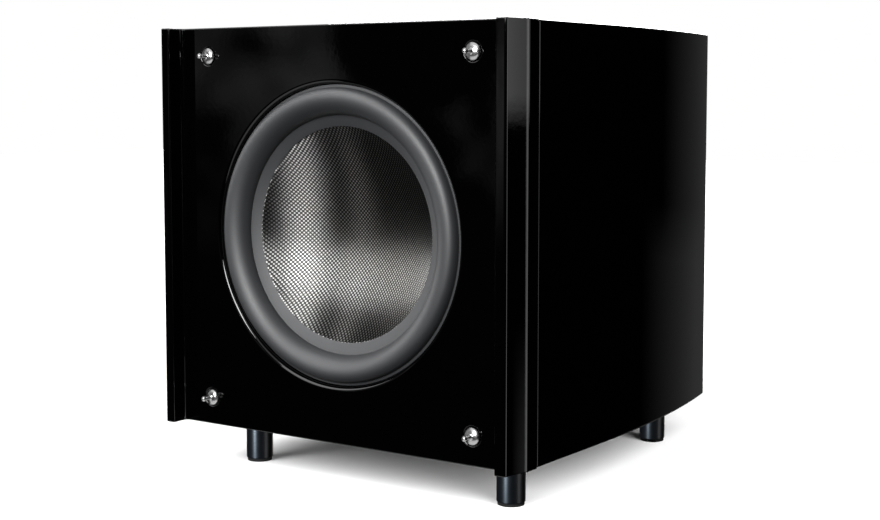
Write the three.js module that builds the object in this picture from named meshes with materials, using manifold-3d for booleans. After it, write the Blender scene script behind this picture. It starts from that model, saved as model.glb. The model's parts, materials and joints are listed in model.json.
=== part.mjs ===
// A powered subwoofer: a lacquered MDF cabinet on four turned feet, a 12-inch driver
// with a dished woven cone, four grille studs and a plate amplifier let into the back.
// Millimetres, +Z up. The front faces -Y. Pieces are placed from the middle of the
// baffle's front face (Y = 0) and the cabinet's underside (Z = 0); the last lines move
// the whole assembly so that the origin is the middle of the footprint, on the floor.

import * as THREE from 'three';
import { mergeVertices } from 'three/addons/utils/BufferGeometryUtils.js';
import Module from 'manifold-3d';

const wasm = await Module();
wasm.setup();

// ---------- driving dimensions ----------

const GAP = 0.3; // clearance between neighbouring pieces

// cabinet
const CABINET_HEIGHT = 400;
const CABINET_HALF_WIDTH = 211;
const CABINET_BACK_Y = 430;
const WALL = 18;
const SIDE_CURVE_START_Y = 154; // the side walls are flat up to here, then curve inwards
const SIDE_CURVE_RADIUS = 1330;

// baffle
const BAFFLE_THICKNESS = 26;
const BAFFLE_HALF_WIDTH = 212;
const WING_DEPTH = 19; // how far the side wings stand forward of the baffle face
const SHADOW_GAP = 1.2; // groove between the baffle and the cabinet
const SPIGOT_DEPTH = 14; // the step on the baffle's back that fits inside the walls

// driver
const DRIVER_Z = CABINET_HEIGHT / 2;
const OPENING_RADIUS = 144.5;
const LIP_RADIUS = 4.2; // quarter round between the baffle face and the opening
const SEAT_DEPTH = 14; // depth of the ledge that the driver is bolted up to
const FLANGE_RADIUS = 154.5;
const RIM_RADIUS = 143.7; // outer edge of the surround, which stands forward in the opening
const RIM_Y = 5.5;
const ROLL_OUTER_RADIUS = 141;
const ROLL_INNER_RADIUS = 115;
const ROLL_HEIGHT = 12.8;
const SURROUND_SKIN = 1.6;
const DISH_RADIUS = 104;
const DISH_DEPTH = 40;
const BOLT_CIRCLE_RADIUS = 149.5;
const SPOKE_COUNT = 6;

// grille studs and feet
const STUD_X = 159;
const STUD_Z = [27.5, 372];
const FOOT_HEIGHT = 50;
const FOOT_RADIUS = 13.8;
const FRONT_FOOT = { x: 157, y: 69 };
const REAR_FOOT = { x: 140, y: 389 };

// inside the cabinet
const BRACE = { frontY: 238, windowWidth: 250, windowHeight: 270, windowCorner: 30 };
const WADDING = { halfWidth: 140, frontY: 60, backY: 225, height: 26 };

// plate amplifier
const PLATE = { width: 260, height: 300, thickness: 3 };
const PLATE_Z = 200;
const CUTOUT = { width: 232, height: 262 };
const REBATE_DEPTH = 6;
const HEATSINK = { x: -64, width: 104, height: 236, base: 4, fin: 18.5, fins: 13, finThickness: 2.6 };
const LEVEL_KNOB = { x: 92, z: 304 };
const CROSSOVER_KNOB = { x: 36, z: 304 };
const STATUS_LED = { x: 64, z: 322 };
const PHASE_SWITCH = { x: 64, z: 262 };
const LINE_INPUTS = { x: [92, 36], z: 216 };
const POWER_SWITCH = { x: 64, z: 154 };
const MAINS_INLET = { x: 64, z: 96 };
const KNOB = { radius: 10, length: 15, shaftRadius: 3 };
const LEVER = { size: 3.4, travel: 4 };
const ROCKER = { halfWidth: 6.6, halfLength: 10.2, restAngle: 8 };

// ---------- places that follow from them ----------

const CABINET_FRONT_Y = BAFFLE_THICKNESS + SHADOW_GAP;
const SIDE_CURVE_X = CABINET_HALF_WIDTH - SIDE_CURVE_RADIUS;
const REBATE_Y = CABINET_BACK_Y - REBATE_DEPTH;
const SEAL_THICKNESS = 1.7;
const PLATE_INNER_Y = REBATE_Y + SEAL_THICKNESS + 2 * GAP;
const PLATE_OUTER_Y = PLATE_INNER_Y + PLATE.thickness;
const BOARD_Y = PLATE_INNER_Y - 34;
const BOARD_THICKNESS = 1.6;
const REAR_Y = PLATE_OUTER_Y + GAP + HEATSINK.base + HEATSINK.fin;
const FLANGE_Y = SEAT_DEPTH + 2.6;
const CONE_LIP_Y = SEAT_DEPTH + 2.1;

// ---------- finishes ----------

const lacquer = { color: 0x050505, roughness: 0.06, metalness: 0 };
const bareBoard = { color: 0x8a6f52, roughness: 0.85, metalness: 0 };
const chrome = { color: 0xd8d8d8, roughness: 0.12, metalness: 1 };
const blackMetal = { color: 0x151515, roughness: 0.45, metalness: 0.6 };
const blackPlastic = { color: 0x111111, roughness: 0.5, metalness: 0 };
const rubber = { color: 0x3a3b3d, roughness: 0.6, metalness: 0 };
const blackRubber = { color: 0x101010, roughness: 0.8, metalness: 0 };
const glassFibre = { color: 0x9a9a98, roughness: 0.35, metalness: 0.3 };
const castAluminium = { color: 0x26272a, roughness: 0.5, metalness: 0.7 };
const zincSteel = { color: 0xb9bcc0, roughness: 0.35, metalness: 1 };
const ferrite = { color: 0x1c1c1e, roughness: 0.7, metalness: 0 };
const phenolicCloth = { color: 0xb07a3c, roughness: 0.8, metalness: 0 };
const kapton = { color: 0x6b4a1e, roughness: 0.4, metalness: 0 };
const copper = { color: 0xb8703a, roughness: 0.35, metalness: 1 };
const boardGreen = { color: 0x1c5a36, roughness: 0.5, metalness: 0 };
const gold = { color: 0xd9b45a, roughness: 0.25, metalness: 1 };
const ledGreen = { color: 0x37c05a, roughness: 0.2, metalness: 0 };
const redInsulation = { color: 0xa01818, roughness: 0.5, metalness: 0 };
const wadding = { color: 0xe6e2d8, roughness: 0.95, metalness: 0 };

// ---------- helpers ----------

// Merge the shared corners and drop the triangles that a profile point on the axis makes.
function weld(geometry) {
  const bare = geometry.clone();
  bare.deleteAttribute('normal');
  bare.deleteAttribute('uv');
  const merged = mergeVertices(bare, 1e-4);
  const index = merged.index.array;
  const kept = [];
  for (let i = 0; i < index.length; i += 3) {
    const [a, b, c] = [index[i], index[i + 1], index[i + 2]];
    if (a !== b && b !== c && c !== a) kept.push(a, b, c);
  }
  merged.setIndex(kept);
  return merged;
}

// Turn the triangles round if the solid's faces point inwards.
function faceOutwards(geometry) {
  const place = geometry.attributes.position;
  const index = geometry.index.array;
  const corner = [new THREE.Vector3(), new THREE.Vector3(), new THREE.Vector3()];
  let volume = 0;
  for (let i = 0; i < index.length; i += 3) {
    corner.forEach((point, k) => point.fromBufferAttribute(place, index[i + k]));
    volume += corner[0].dot(corner[1].clone().cross(corner[2]));
  }
  if (volume > 0) return geometry;
  for (let i = 0; i < index.length; i += 3) {
    [index[i], index[i + 1]] = [index[i + 1], index[i]];
  }
  return geometry;
}

function solidOf(geometry) {
  const welded = faceOutwards(weld(geometry));
  return new wasm.Manifold(new wasm.Mesh({
    numProp: 3,
    vertProperties: new Float32Array(welded.attributes.position.array),
    triVerts: new Uint32Array(welded.index.array),
  }));
}

function geometryOf(solid) {
  const mesh = solid.getMesh();
  const geometry = new THREE.BufferGeometry();
  geometry.setAttribute('position', new THREE.BufferAttribute(mesh.vertProperties, 3));
  geometry.setIndex(new THREE.BufferAttribute(mesh.triVerts, 1));
  return geometry;
}

function cut(base, cutters) {
  return geometryOf(cutters.reduce((rest, cutter) => rest.subtract(solidOf(cutter)), solidOf(base)));
}

function join(pieces) {
  return geometryOf(pieces.map(solidOf).reduce((whole, piece) => whole.add(piece)));
}

// A solid of revolution about the Y direction; the profile's points are [radius, y].
function turned(profile, segments) {
  const points = profile.map(([radius, y]) => new THREE.Vector2(radius, y));
  return new THREE.LatheGeometry(points, segments);
}

// The same about a driver-axis line through (x, 0, z).
function turnedAt(x, z, profile, segments) {
  return turned(profile, segments).translate(x, 0, z);
}

// A closed ring or tube: the profile returns to its first point.
function ring(inner, outer, y0, y1, segments) {
  return turned([[inner, y0], [outer, y0], [outer, y1], [inner, y1], [inner, y0]], segments);
}

function rod(radius, y0, y1, segments) {
  return turned([[0, y0], [radius, y0], [radius, y1], [0, y1]], segments);
}

function box(x0, x1, y0, y1, z0, z1) {
  const geometry = new THREE.BoxGeometry(x1 - x0, y1 - y0, z1 - z0);
  return geometry.translate((x0 + x1) / 2, (y0 + y1) / 2, (z0 + z1) / 2);
}

// A plan outline in X and Y, pulled up from z0 to z1.
function upright(shape, z0, z1, curveSegments = 10) {
  const geometry = new THREE.ExtrudeGeometry(shape, {
    depth: z1 - z0, bevelEnabled: false, curveSegments,
  });
  return geometry.translate(0, 0, z0);
}

// An outline in X and Z, pulled back from y0 to y1.
function panel(shape, y0, y1, curveSegments = 4) {
  const geometry = new THREE.ExtrudeGeometry(shape, {
    depth: y1 - y0, bevelEnabled: false, curveSegments,
  });
  return geometry.rotateX(Math.PI / 2).translate(0, y1, 0);
}

function roundedRectangle(x, z, width, height, radius) {
  const [left, right] = [x - width / 2, x + width / 2];
  const [low, high] = [z - height / 2, z + height / 2];
  const shape = new THREE.Shape();
  shape.moveTo(left + radius, low);
  shape.lineTo(right - radius, low);
  shape.absarc(right - radius, low + radius, radius, -Math.PI / 2, 0);
  shape.lineTo(right, high - radius);
  shape.absarc(right - radius, high - radius, radius, 0, Math.PI / 2);
  shape.lineTo(left + radius, high);
  shape.absarc(left + radius, high - radius, radius, Math.PI / 2, Math.PI);
  shape.lineTo(left, low + radius);
  shape.absarc(left + radius, low + radius, radius, Math.PI, 1.5 * Math.PI);
  return shape;
}

function tube(points, radius, steps, sides) {
  const section = new THREE.Shape();
  for (let i = 0; i < sides; i += 1) {
    const angle = (2 * Math.PI * i) / sides;
    section[i ? 'lineTo' : 'moveTo'](radius * Math.cos(angle), radius * Math.sin(angle));
  }
  section.closePath();
  const path = new THREE.CatmullRomCurve3(points.map((point) => new THREE.Vector3(...point)));
  return new THREE.ExtrudeGeometry(section, { steps, extrudePath: path, bevelEnabled: false });
}

const assembly = new THREE.Group();

function piece(name, geometry, finish) {
  const closed = faceOutwards(weld(geometry));
  const mesh = new THREE.Mesh(closed, new THREE.MeshStandardMaterial(finish));
  mesh.name = name;
  assembly.add(mesh);
  return mesh;
}

// ---------- cabinet ----------

// Half the width of the cabinet at depth y, measured `inset` inside the outer surface.
function halfWidthAt(y, inset) {
  const along = Math.max(0, y - SIDE_CURVE_START_Y);
  const radius = SIDE_CURVE_RADIUS - inset;
  return SIDE_CURVE_X + Math.sqrt(radius * radius - along * along);
}

// The curved side's line from front to back, `inset` inside the outer surface.
function sideLine(inset, mirror, frontY, backY, steps) {
  const points = [new THREE.Vector2(mirror * (CABINET_HALF_WIDTH - inset), frontY)];
  for (let i = 0; i <= steps; i += 1) {
    const y = SIDE_CURVE_START_Y + ((backY - SIDE_CURVE_START_Y) * i) / steps;
    points.push(new THREE.Vector2(mirror * halfWidthAt(y, inset), y));
  }
  return points;
}

const SIDE_STEPS = 8;

function sidePanel(mirror) {
  const outer = sideLine(0, mirror, CABINET_FRONT_Y, CABINET_BACK_Y, SIDE_STEPS);
  const inner = sideLine(WALL, mirror, CABINET_FRONT_Y, CABINET_BACK_Y, SIDE_STEPS);
  return upright(new THREE.Shape([...outer, ...inner.reverse()]), 0, CABINET_HEIGHT);
}

function levelPanel(z0, z1) {
  const inset = WALL + GAP;
  const right = sideLine(inset, 1, CABINET_FRONT_Y, CABINET_BACK_Y, SIDE_STEPS);
  const left = sideLine(inset, -1, CABINET_FRONT_Y, CABINET_BACK_Y, SIDE_STEPS);
  return upright(new THREE.Shape([...right, ...left.reverse()]), z0, z1);
}

// An upright board that fills the cabinet from wall to wall between y0 and y1.
function crossBoard(y0, y1) {
  const front = halfWidthAt(y0, WALL) - 2 * GAP;
  const back = halfWidthAt(y1, WALL) - 2 * GAP;
  const corners = [[-front, y0], [front, y0], [back, y1], [-back, y1]];
  const outline = corners.map(([x, y]) => new THREE.Vector2(x, y));
  return upright(new THREE.Shape(outline), WALL + GAP, CABINET_HEIGHT - WALL - GAP);
}

function backPanel() {
  const through = roundedRectangle(0, PLATE_Z, CUTOUT.width, CUTOUT.height, 8);
  const rebate = roundedRectangle(0, PLATE_Z, PLATE.width + 1.2, PLATE.height + 1.2, 6.6);
  return cut(crossBoard(CABINET_BACK_Y - WALL, CABINET_BACK_Y), [
    panel(through, CABINET_BACK_Y - WALL - 1, CABINET_BACK_Y + 1),
    panel(rebate, REBATE_Y, CABINET_BACK_Y + 1),
  ]);
}

function brace() {
  const { frontY, windowWidth, windowHeight, windowCorner } = BRACE;
  const window = roundedRectangle(0, CABINET_HEIGHT / 2, windowWidth, windowHeight, windowCorner);
  return cut(crossBoard(frontY, frontY + WALL), [panel(window, frontY - 1, frontY + WALL + 1)]);
}

const FEET = [
  ['front_left', -FRONT_FOOT.x, FRONT_FOOT.y],
  ['front_right', FRONT_FOOT.x, FRONT_FOOT.y],
  ['rear_left', -REAR_FOOT.x, REAR_FOOT.y],
  ['rear_right', REAR_FOOT.x, REAR_FOOT.y],
];
const FOOT_STUD = { radius: 4, length: 13 };

// A solid of revolution about the upright line through (x, y).
function turnedUpright(x, y, profile, segments) {
  return turned(profile, segments).rotateX(Math.PI / 2).translate(x, y, 0);
}

function bottomPanel() {
  const holes = FEET.map(([, x, y]) => turnedUpright(x, y, [
    [0, -1], [FOOT_STUD.radius + GAP, -1],
    [FOOT_STUD.radius + GAP, FOOT_STUD.length + 1], [0, FOOT_STUD.length + 1],
  ], 12));
  return cut(levelPanel(0, WALL), holes);
}

piece('cabinet_left_side', sidePanel(-1), lacquer);
piece('cabinet_right_side', sidePanel(1), lacquer);
piece('cabinet_top', levelPanel(CABINET_HEIGHT - WALL, CABINET_HEIGHT), lacquer);
piece('cabinet_bottom', bottomPanel(), lacquer);
piece('cabinet_back', backPanel(), lacquer);
piece('window_brace', brace(), bareBoard);

// ---------- baffle ----------

// The right half of the baffle's plan outline, from the start of the inner fillet round
// the wing to the back corner: a fillet and an upright inner face, a flat front face, a
// rounded ridge, a hollow outer face and a soft outer edge.
function wingOutline() {
  const path = new THREE.Path();
  path.moveTo(189.5, 0);
  path.quadraticCurveTo(195, 0, 195, -5.5);
  path.lineTo(194.7, -17.6);
  path.quadraticCurveTo(194.7, -WING_DEPTH, 196.4, -WING_DEPTH);
  path.lineTo(203.4, -WING_DEPTH + 0.3);
  path.quadraticCurveTo(205.9, -WING_DEPTH + 0.4, 206.4, -16.4);
  path.quadraticCurveTo(207.6, -4, BAFFLE_HALF_WIDTH - 0.6, 4.4);
  path.quadraticCurveTo(BAFFLE_HALF_WIDTH, 6, BAFFLE_HALF_WIDTH, 8);
  path.lineTo(BAFFLE_HALF_WIDTH, BAFFLE_THICKNESS);
  return path.getPoints(4);
}

function openingCutter() {
  const steps = 4;
  const profile = [[0, -1], [OPENING_RADIUS + LIP_RADIUS, -1]];
  for (let i = 0; i <= steps; i += 1) {
    const angle = (Math.PI / 2) * (i / steps);
    profile.push([
      OPENING_RADIUS + LIP_RADIUS * (1 - Math.sin(angle)),
      LIP_RADIUS * (1 - Math.cos(angle)),
    ]);
  }
  const behind = BAFFLE_THICKNESS + SPIGOT_DEPTH + 1;
  profile.push([OPENING_RADIUS, SEAT_DEPTH], [FLANGE_RADIUS + 1, SEAT_DEPTH]);
  profile.push([FLANGE_RADIUS + 1, behind], [0, behind]);
  return turnedAt(0, DRIVER_Z, profile, 48);
}

function onDriverAxis(geometry) {
  return geometry.translate(0, 0, DRIVER_Z);
}

// Places on a circle about the driver's axis, one at each spoke of its frame.
function aroundDriver(radius) {
  const places = [];
  for (let i = 0; i < SPOKE_COUNT; i += 1) {
    const angle = 2 * Math.PI * (i / SPOKE_COUNT) - Math.PI / 2;
    places.push([radius * Math.cos(angle), DRIVER_Z + radius * Math.sin(angle)]);
  }
  return places;
}

const DRIVER_BOLT = { shankRadius: 2.3, headRadius: 4.5, headHeight: 3.6, reach: 8 };
const STUDS = [
  ['lower_left', -STUD_X, STUD_Z[0]],
  ['lower_right', STUD_X, STUD_Z[0]],
  ['upper_left', -STUD_X, STUD_Z[1]],
  ['upper_right', STUD_X, STUD_Z[1]],
];
const STUD_RECESS = {
  radius: 9.9, shoulder: 8.7, shoulderDepth: 1.2, floor: 4.2, depth: 2.6, hole: 2.7, holeDepth: 17,
};

function frontBaffle() {
  const right = wingOutline();
  const left = right.map((point) => new THREE.Vector2(-point.x, point.y)).reverse();
  const board = upright(new THREE.Shape([...right, ...left]), 0, CABINET_HEIGHT);
  const inset = WALL + 2 * GAP;
  const spigot = box(
    -CABINET_HALF_WIDTH + inset, CABINET_HALF_WIDTH - inset,
    BAFFLE_THICKNESS - 1, BAFFLE_THICKNESS + SPIGOT_DEPTH,
    inset, CABINET_HEIGHT - inset,
  );
  const recess = [
    [0, -1], [STUD_RECESS.radius, -1], [STUD_RECESS.radius, 0],
    [STUD_RECESS.shoulder, STUD_RECESS.shoulderDepth],
    [STUD_RECESS.floor, STUD_RECESS.depth], [STUD_RECESS.hole, STUD_RECESS.depth],
    [STUD_RECESS.hole, STUD_RECESS.holeDepth], [0, STUD_RECESS.holeDepth],
  ];
  const holeFloor = SEAT_DEPTH - DRIVER_BOLT.reach - 1;
  return cut(join([board, spigot]), [
    openingCutter(),
    ...STUDS.map(([, x, z]) => turnedAt(x, z, recess, 16)),
    ...boltHoles(holeFloor, SEAT_DEPTH + 1).map(onDriverAxis),
  ]);
}

piece('front_baffle', frontBaffle(), lacquer);

// ---------- grille studs ----------

// A chromed screw-in stud: a domed flange in the recess, a neck and a ball for the grille.
const STUD_PROFILE = [
  [0, -14.9], [1.8, -14.2], [2.8, -12.7], [2.8, -11.4], [1.9, -9.9], [1.8, -5.4],
  [2.8, -4.1], [5.6, -2.9], [7.7, -1.5], [8.1, -0.6], [8.1, 0.5], [3.4, 2.1],
  [2.3, 2.1], [2.3, 16], [0, 16],
];

for (const [place, x, z] of STUDS) {
  piece(`grille_stud_${place}`, turnedAt(x, z, STUD_PROFILE, 12), chrome);
}

// ---------- feet ----------

const PAD_HEIGHT = 3;
const FOOT_PROFILE = [
  [0, -FOOT_HEIGHT + PAD_HEIGHT], [FOOT_RADIUS - 0.8, -FOOT_HEIGHT + PAD_HEIGHT],
  [FOOT_RADIUS, -FOOT_HEIGHT + PAD_HEIGHT + 0.8], [FOOT_RADIUS, -GAP],
  [FOOT_STUD.radius, -GAP], [FOOT_STUD.radius, FOOT_STUD.length], [0, FOOT_STUD.length],
];
const PAD_RADIUS = FOOT_RADIUS - 1;
const PAD_PROFILE = [
  [0, -FOOT_HEIGHT], [PAD_RADIUS, -FOOT_HEIGHT],
  [PAD_RADIUS, -FOOT_HEIGHT + PAD_HEIGHT - GAP], [0, -FOOT_HEIGHT + PAD_HEIGHT - GAP],
];

for (const [place, x, y] of FEET) {
  piece(`foot_${place}`, turnedUpright(x, y, FOOT_PROFILE, 20), blackMetal);
  piece(`foot_pad_${place}`, turnedUpright(x, y, PAD_PROFILE, 16), blackRubber);
}

// ---------- driver ----------

const CONE_JOINT_Y = SEAT_DEPTH + GAP; // front face of the surround's inner lip

// Points of the half-roll in [radius, y], from its outer foot over the crest to its inner
// foot, `inset` inside the rubber's front surface. The inner foot lies deeper than the outer.
function roll(inset) {
  const steps = 9;
  const middle = (ROLL_OUTER_RADIUS + ROLL_INNER_RADIUS) / 2;
  const half = (ROLL_OUTER_RADIUS - ROLL_INNER_RADIUS) / 2 - inset;
  const points = [];
  for (let i = 0; i <= steps; i += 1) {
    const angle = (Math.PI * i) / steps;
    const share = (1 - Math.cos(angle)) / 2;
    const footY = RIM_Y + (CONE_JOINT_Y - RIM_Y) * share + inset;
    points.push([
      middle + half * Math.cos(angle), footY - (ROLL_HEIGHT - inset) * Math.sin(angle),
    ]);
  }
  return points;
}

function surroundProfile() {
  return [
    [RIM_RADIUS, RIM_Y], ...roll(0), [DISH_RADIUS, CONE_JOINT_Y],
    [DISH_RADIUS, CONE_JOINT_Y + SURROUND_SKIN], ...roll(SURROUND_SKIN).reverse(),
    [RIM_RADIUS, RIM_Y + SURROUND_SKIN], [RIM_RADIUS, RIM_Y],
  ];
}

// Depth of the dish's face at a radius: a shallow spherical bowl.
const DISH_CURVATURE = (DISH_RADIUS ** 2 + DISH_DEPTH ** 2) / (2 * DISH_DEPTH);
const DISH_CENTRE_Y = CONE_LIP_Y + DISH_DEPTH - DISH_CURVATURE;

function dishY(radius) {
  return DISH_CENTRE_Y + Math.sqrt(DISH_CURVATURE ** 2 - radius ** 2);
}

function coneProfile() {
  const steps = 8;
  const skin = 1.2;
  const lip = ROLL_INNER_RADIUS - GAP;
  const face = [];
  for (let i = 0; i <= steps; i += 1) {
    const radius = (DISH_RADIUS * i) / steps;
    face.push([radius, dishY(radius)]);
  }
  const back = face.map(([radius, y]) => [radius, y + skin * 1.2]).reverse();
  return [...face, [lip, CONE_LIP_Y], [lip, CONE_LIP_Y + skin * 1.2], ...back];
}

const FRAME = {
  collarInner: 140.2, flangeInner: 131, neckRadius: 42,
  ledgeRadius: 84, ledgeInner: 78, ledgeY: 71, floorY: 87, backY: 92,
};
const COLLAR_Y = RIM_Y + SURROUND_SKIN + GAP;
const FLANGE_THICKNESS = 5.4;

// The cast frame: a collar that carries the surround's rim, the flange behind the ledge,
// a basket with six spokes, the spider's ledge and the neck that carries the motor.
function frameGeometry() {
  const shell = turned([
    [FRAME.collarInner, COLLAR_Y], [RIM_RADIUS, COLLAR_Y], [RIM_RADIUS, FLANGE_Y],
    [FLANGE_RADIUS, FLANGE_Y], [FLANGE_RADIUS, FLANGE_Y + FLANGE_THICKNESS],
    [144, FLANGE_Y + FLANGE_THICKNESS], [141, FLANGE_Y + 7.6], [92, 80],
    [FRAME.ledgeRadius, FRAME.backY], [FRAME.neckRadius, FRAME.backY],
    [FRAME.neckRadius, FRAME.floorY], [FRAME.ledgeInner, FRAME.floorY],
    [FRAME.ledgeInner, FRAME.ledgeY], [FRAME.ledgeRadius, FRAME.ledgeY],
    [FRAME.flangeInner, FLANGE_Y + 7], [FRAME.flangeInner, FLANGE_Y],
    [FRAME.collarInner, FLANGE_Y], [FRAME.collarInner, COLLAR_Y],
  ], 36);
  const halfAngle = 21 * (Math.PI / 180);
  const windowY = [33, 64];
  const windows = [];
  for (let i = 0; i < SPOKE_COUNT; i += 1) {
    const corners = [[60, -halfAngle], [165, -halfAngle], [165, halfAngle], [60, halfAngle]];
    const outline = corners.map(([radius, angle]) => (
      new THREE.Vector2(radius * Math.cos(angle), radius * Math.sin(angle))
    ));
    const turn = 2 * Math.PI * (i / SPOKE_COUNT);
    windows.push(panel(new THREE.Shape(outline), ...windowY).rotateY(turn));
  }
  return cut(shell, [...windows, ...boltHoles(FLANGE_Y - 1, FLANGE_Y + 9)]);
}

// The ring of clearance holes for the driver bolts, centred on the driver's axis.
function boltHoles(y0, y1) {
  return aroundDriver(BOLT_CIRCLE_RADIUS).map(([x, z]) => (
    rod(DRIVER_BOLT.shankRadius + GAP, y0, y1, 8).translate(x, 0, z - DRIVER_Z)
  ));
}

function driverSeal() {
  const [y0, y1] = [SEAT_DEPTH + GAP, FLANGE_Y - GAP];
  return cut(ring(OPENING_RADIUS + 1, FLANGE_RADIUS, y0, y1, 36), boltHoles(y0 - 1, y1 + 1));
}

function spiderProfile() {
  const steps = 12;
  const [inner, outer, lip] = [33, 76, FRAME.ledgeRadius - 0.6];
  const middleY = FRAME.ledgeY - GAP - 0.6;
  const skin = 1.1;
  const wave = 2.2;
  const front = [];
  for (let i = 0; i <= steps; i += 1) {
    const along = i / steps;
    const swing = Math.sin(along * Math.PI * 6) * wave;
    front.push([inner + (outer - inner) * along, middleY - skin / 2 + swing]);
  }
  front.push([lip, middleY - skin / 2]);
  const back = front.map(([radius, y]) => [radius, y + skin]).reverse();
  return [...front, ...back, front[0]];
}

const COIL = {
  formerInner: 31.9, formerOuter: 32.7, formerY: [55, 118], windingOuter: 34.4, windingY: [83, 111],
};
const MOTOR = {
  plateY: FRAME.backY + GAP, plateThickness: 10, plateInner: 35.8, plateRadius: 72,
  magnetThickness: 40, magnetInner: 45, magnetRadius: 80,
  poleRadius: 31.2, ventRadius: 10, backPlateRadius: 74, backPlateThickness: 11,
};
const MAGNET_Y = MOTOR.plateY + MOTOR.plateThickness + GAP;
const BACK_PLATE_Y = MAGNET_Y + MOTOR.magnetThickness + GAP;

// The back plate and pole piece, turned from one blank, with a vent down the middle.
const BACK_Y = BACK_PLATE_Y + MOTOR.backPlateThickness;
const BACK_PLATE_PROFILE = [
  [MOTOR.ventRadius, MOTOR.plateY - 1], [MOTOR.poleRadius, MOTOR.plateY - 1],
  [MOTOR.poleRadius, BACK_PLATE_Y], [MOTOR.backPlateRadius, BACK_PLATE_Y],
  [MOTOR.backPlateRadius, BACK_Y - 2], [MOTOR.backPlateRadius - 4, BACK_Y],
  [MOTOR.ventRadius + 4, BACK_Y], [MOTOR.ventRadius, BACK_Y - 4], [MOTOR.ventRadius, MOTOR.plateY - 1],
];

function voiceCoilFormer() {
  return ring(COIL.formerInner, COIL.formerOuter, ...COIL.formerY, 28);
}

function voiceCoil() {
  return ring(COIL.formerOuter + GAP, COIL.windingOuter, ...COIL.windingY, 28);
}

function topPlate() {
  return ring(MOTOR.plateInner, MOTOR.plateRadius, MOTOR.plateY, MAGNET_Y - GAP, 32);
}

function magnet() {
  const backY = MAGNET_Y + MOTOR.magnetThickness;
  return ring(MOTOR.magnetInner, MOTOR.magnetRadius, MAGNET_Y, backY, 32);
}

const BOLT_TIP_Y = SEAT_DEPTH - DRIVER_BOLT.reach;
const BOLT_HEAD_Y = FLANGE_Y + FLANGE_THICKNESS + GAP;
const BOLT_PROFILE = [
  [0, BOLT_TIP_Y], [DRIVER_BOLT.shankRadius, BOLT_TIP_Y],
  [DRIVER_BOLT.shankRadius, BOLT_HEAD_Y], [DRIVER_BOLT.headRadius, BOLT_HEAD_Y],
  [DRIVER_BOLT.headRadius, BOLT_HEAD_Y + DRIVER_BOLT.headHeight],
  [0, BOLT_HEAD_Y + DRIVER_BOLT.headHeight],
];

piece('driver_seal', onDriverAxis(driverSeal()), blackRubber);
piece('driver_frame', onDriverAxis(frameGeometry()), castAluminium);
piece('surround', onDriverAxis(turned(surroundProfile(), 42)), rubber);
piece('cone', onDriverAxis(turned(coneProfile(), 40)), glassFibre);
piece('spider', onDriverAxis(turned(spiderProfile(), 28)), phenolicCloth);
piece('voice_coil_former', onDriverAxis(voiceCoilFormer()), kapton);
piece('voice_coil', onDriverAxis(voiceCoil()), copper);
piece('top_plate', onDriverAxis(topPlate()), zincSteel);
piece('magnet', onDriverAxis(magnet()), ferrite);
piece('back_plate', onDriverAxis(turned(BACK_PLATE_PROFILE, 32)), zincSteel);

aroundDriver(BOLT_CIRCLE_RADIUS).forEach(([x, z], i) => {
  piece(`driver_bolt_${i + 1}`, turnedAt(x, z, BOLT_PROFILE, 10), zincSteel);
});

// The terminal block sits under the lowest spoke; its two tabs take the leads.
const TERMINAL = { y: 60, z: DRIVER_Z - 128, tabX: 7 };

function terminalBlock() {
  const { y, z, tabX } = TERMINAL;
  return join([
    box(-13, 13, y - 9, y + 9, z - 4, z + 4),
    box(-tabX - 2.4, -tabX + 2.4, y + 8, y + 15, z - 0.5, z + 0.5),
    box(tabX - 2.4, tabX + 2.4, y + 8, y + 15, z - 0.5, z + 0.5),
  ]);
}

piece('terminal_block', terminalBlock(), blackPlastic);

// The two leads run from the tabs, under the magnet and through the brace's window,
// to the amplifier's circuit board.
const LEAD_RADIUS = 1.6;

function lead(side) {
  const { y, z, tabX } = TERMINAL;
  return tube([
    [side * tabX, y + 15 + GAP, z],
    [side * (tabX + 1), y + 40, z - 4],
    [side * (tabX + 3), y + 90, z + 4],
    [side * 8, y + 160, z + 26],
    [side * 6, y + 230, z + 46],
    [side * 6, y + 290, z + 78],
    [side * 8, BOARD_Y - 16, z + 108],
    [side * 8, BOARD_Y - 1, z + 114],
  ], LEAD_RADIUS, 36, 8);
}

piece('driver_lead_positive', lead(1), redInsulation);
piece('driver_lead_negative', lead(-1), blackPlastic);

// A wadding pad lies on the cabinet floor between the driver and the brace.
function waddingPad() {
  const { halfWidth, frontY, backY, height } = WADDING;
  const floor = WALL + GAP;
  return box(-halfWidth, halfWidth, frontY, backY, floor, floor + height);
}

piece('damping_wadding', waddingPad(), wadding);

// ---------- plate amplifier ----------

function hole(place, radius, y0, y1, segments) {
  return rod(radius, y0, y1, segments).translate(place.x, 0, place.z);
}

// The power switch's window and the mains inlet's window in the plate.
const SWITCH_WINDOW = { width: 19, height: 27 };
const INLET_WINDOW = { width: 28, height: 21 };
const LINE_JACK = { barrel: 4.2, collar: 6.4, nut: 5.4 };

function windowIn(place, window, y0, y1) {
  return panel(roundedRectangle(place.x, place.z, window.width, window.height, 0.4), y0, y1, 1);
}

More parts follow.
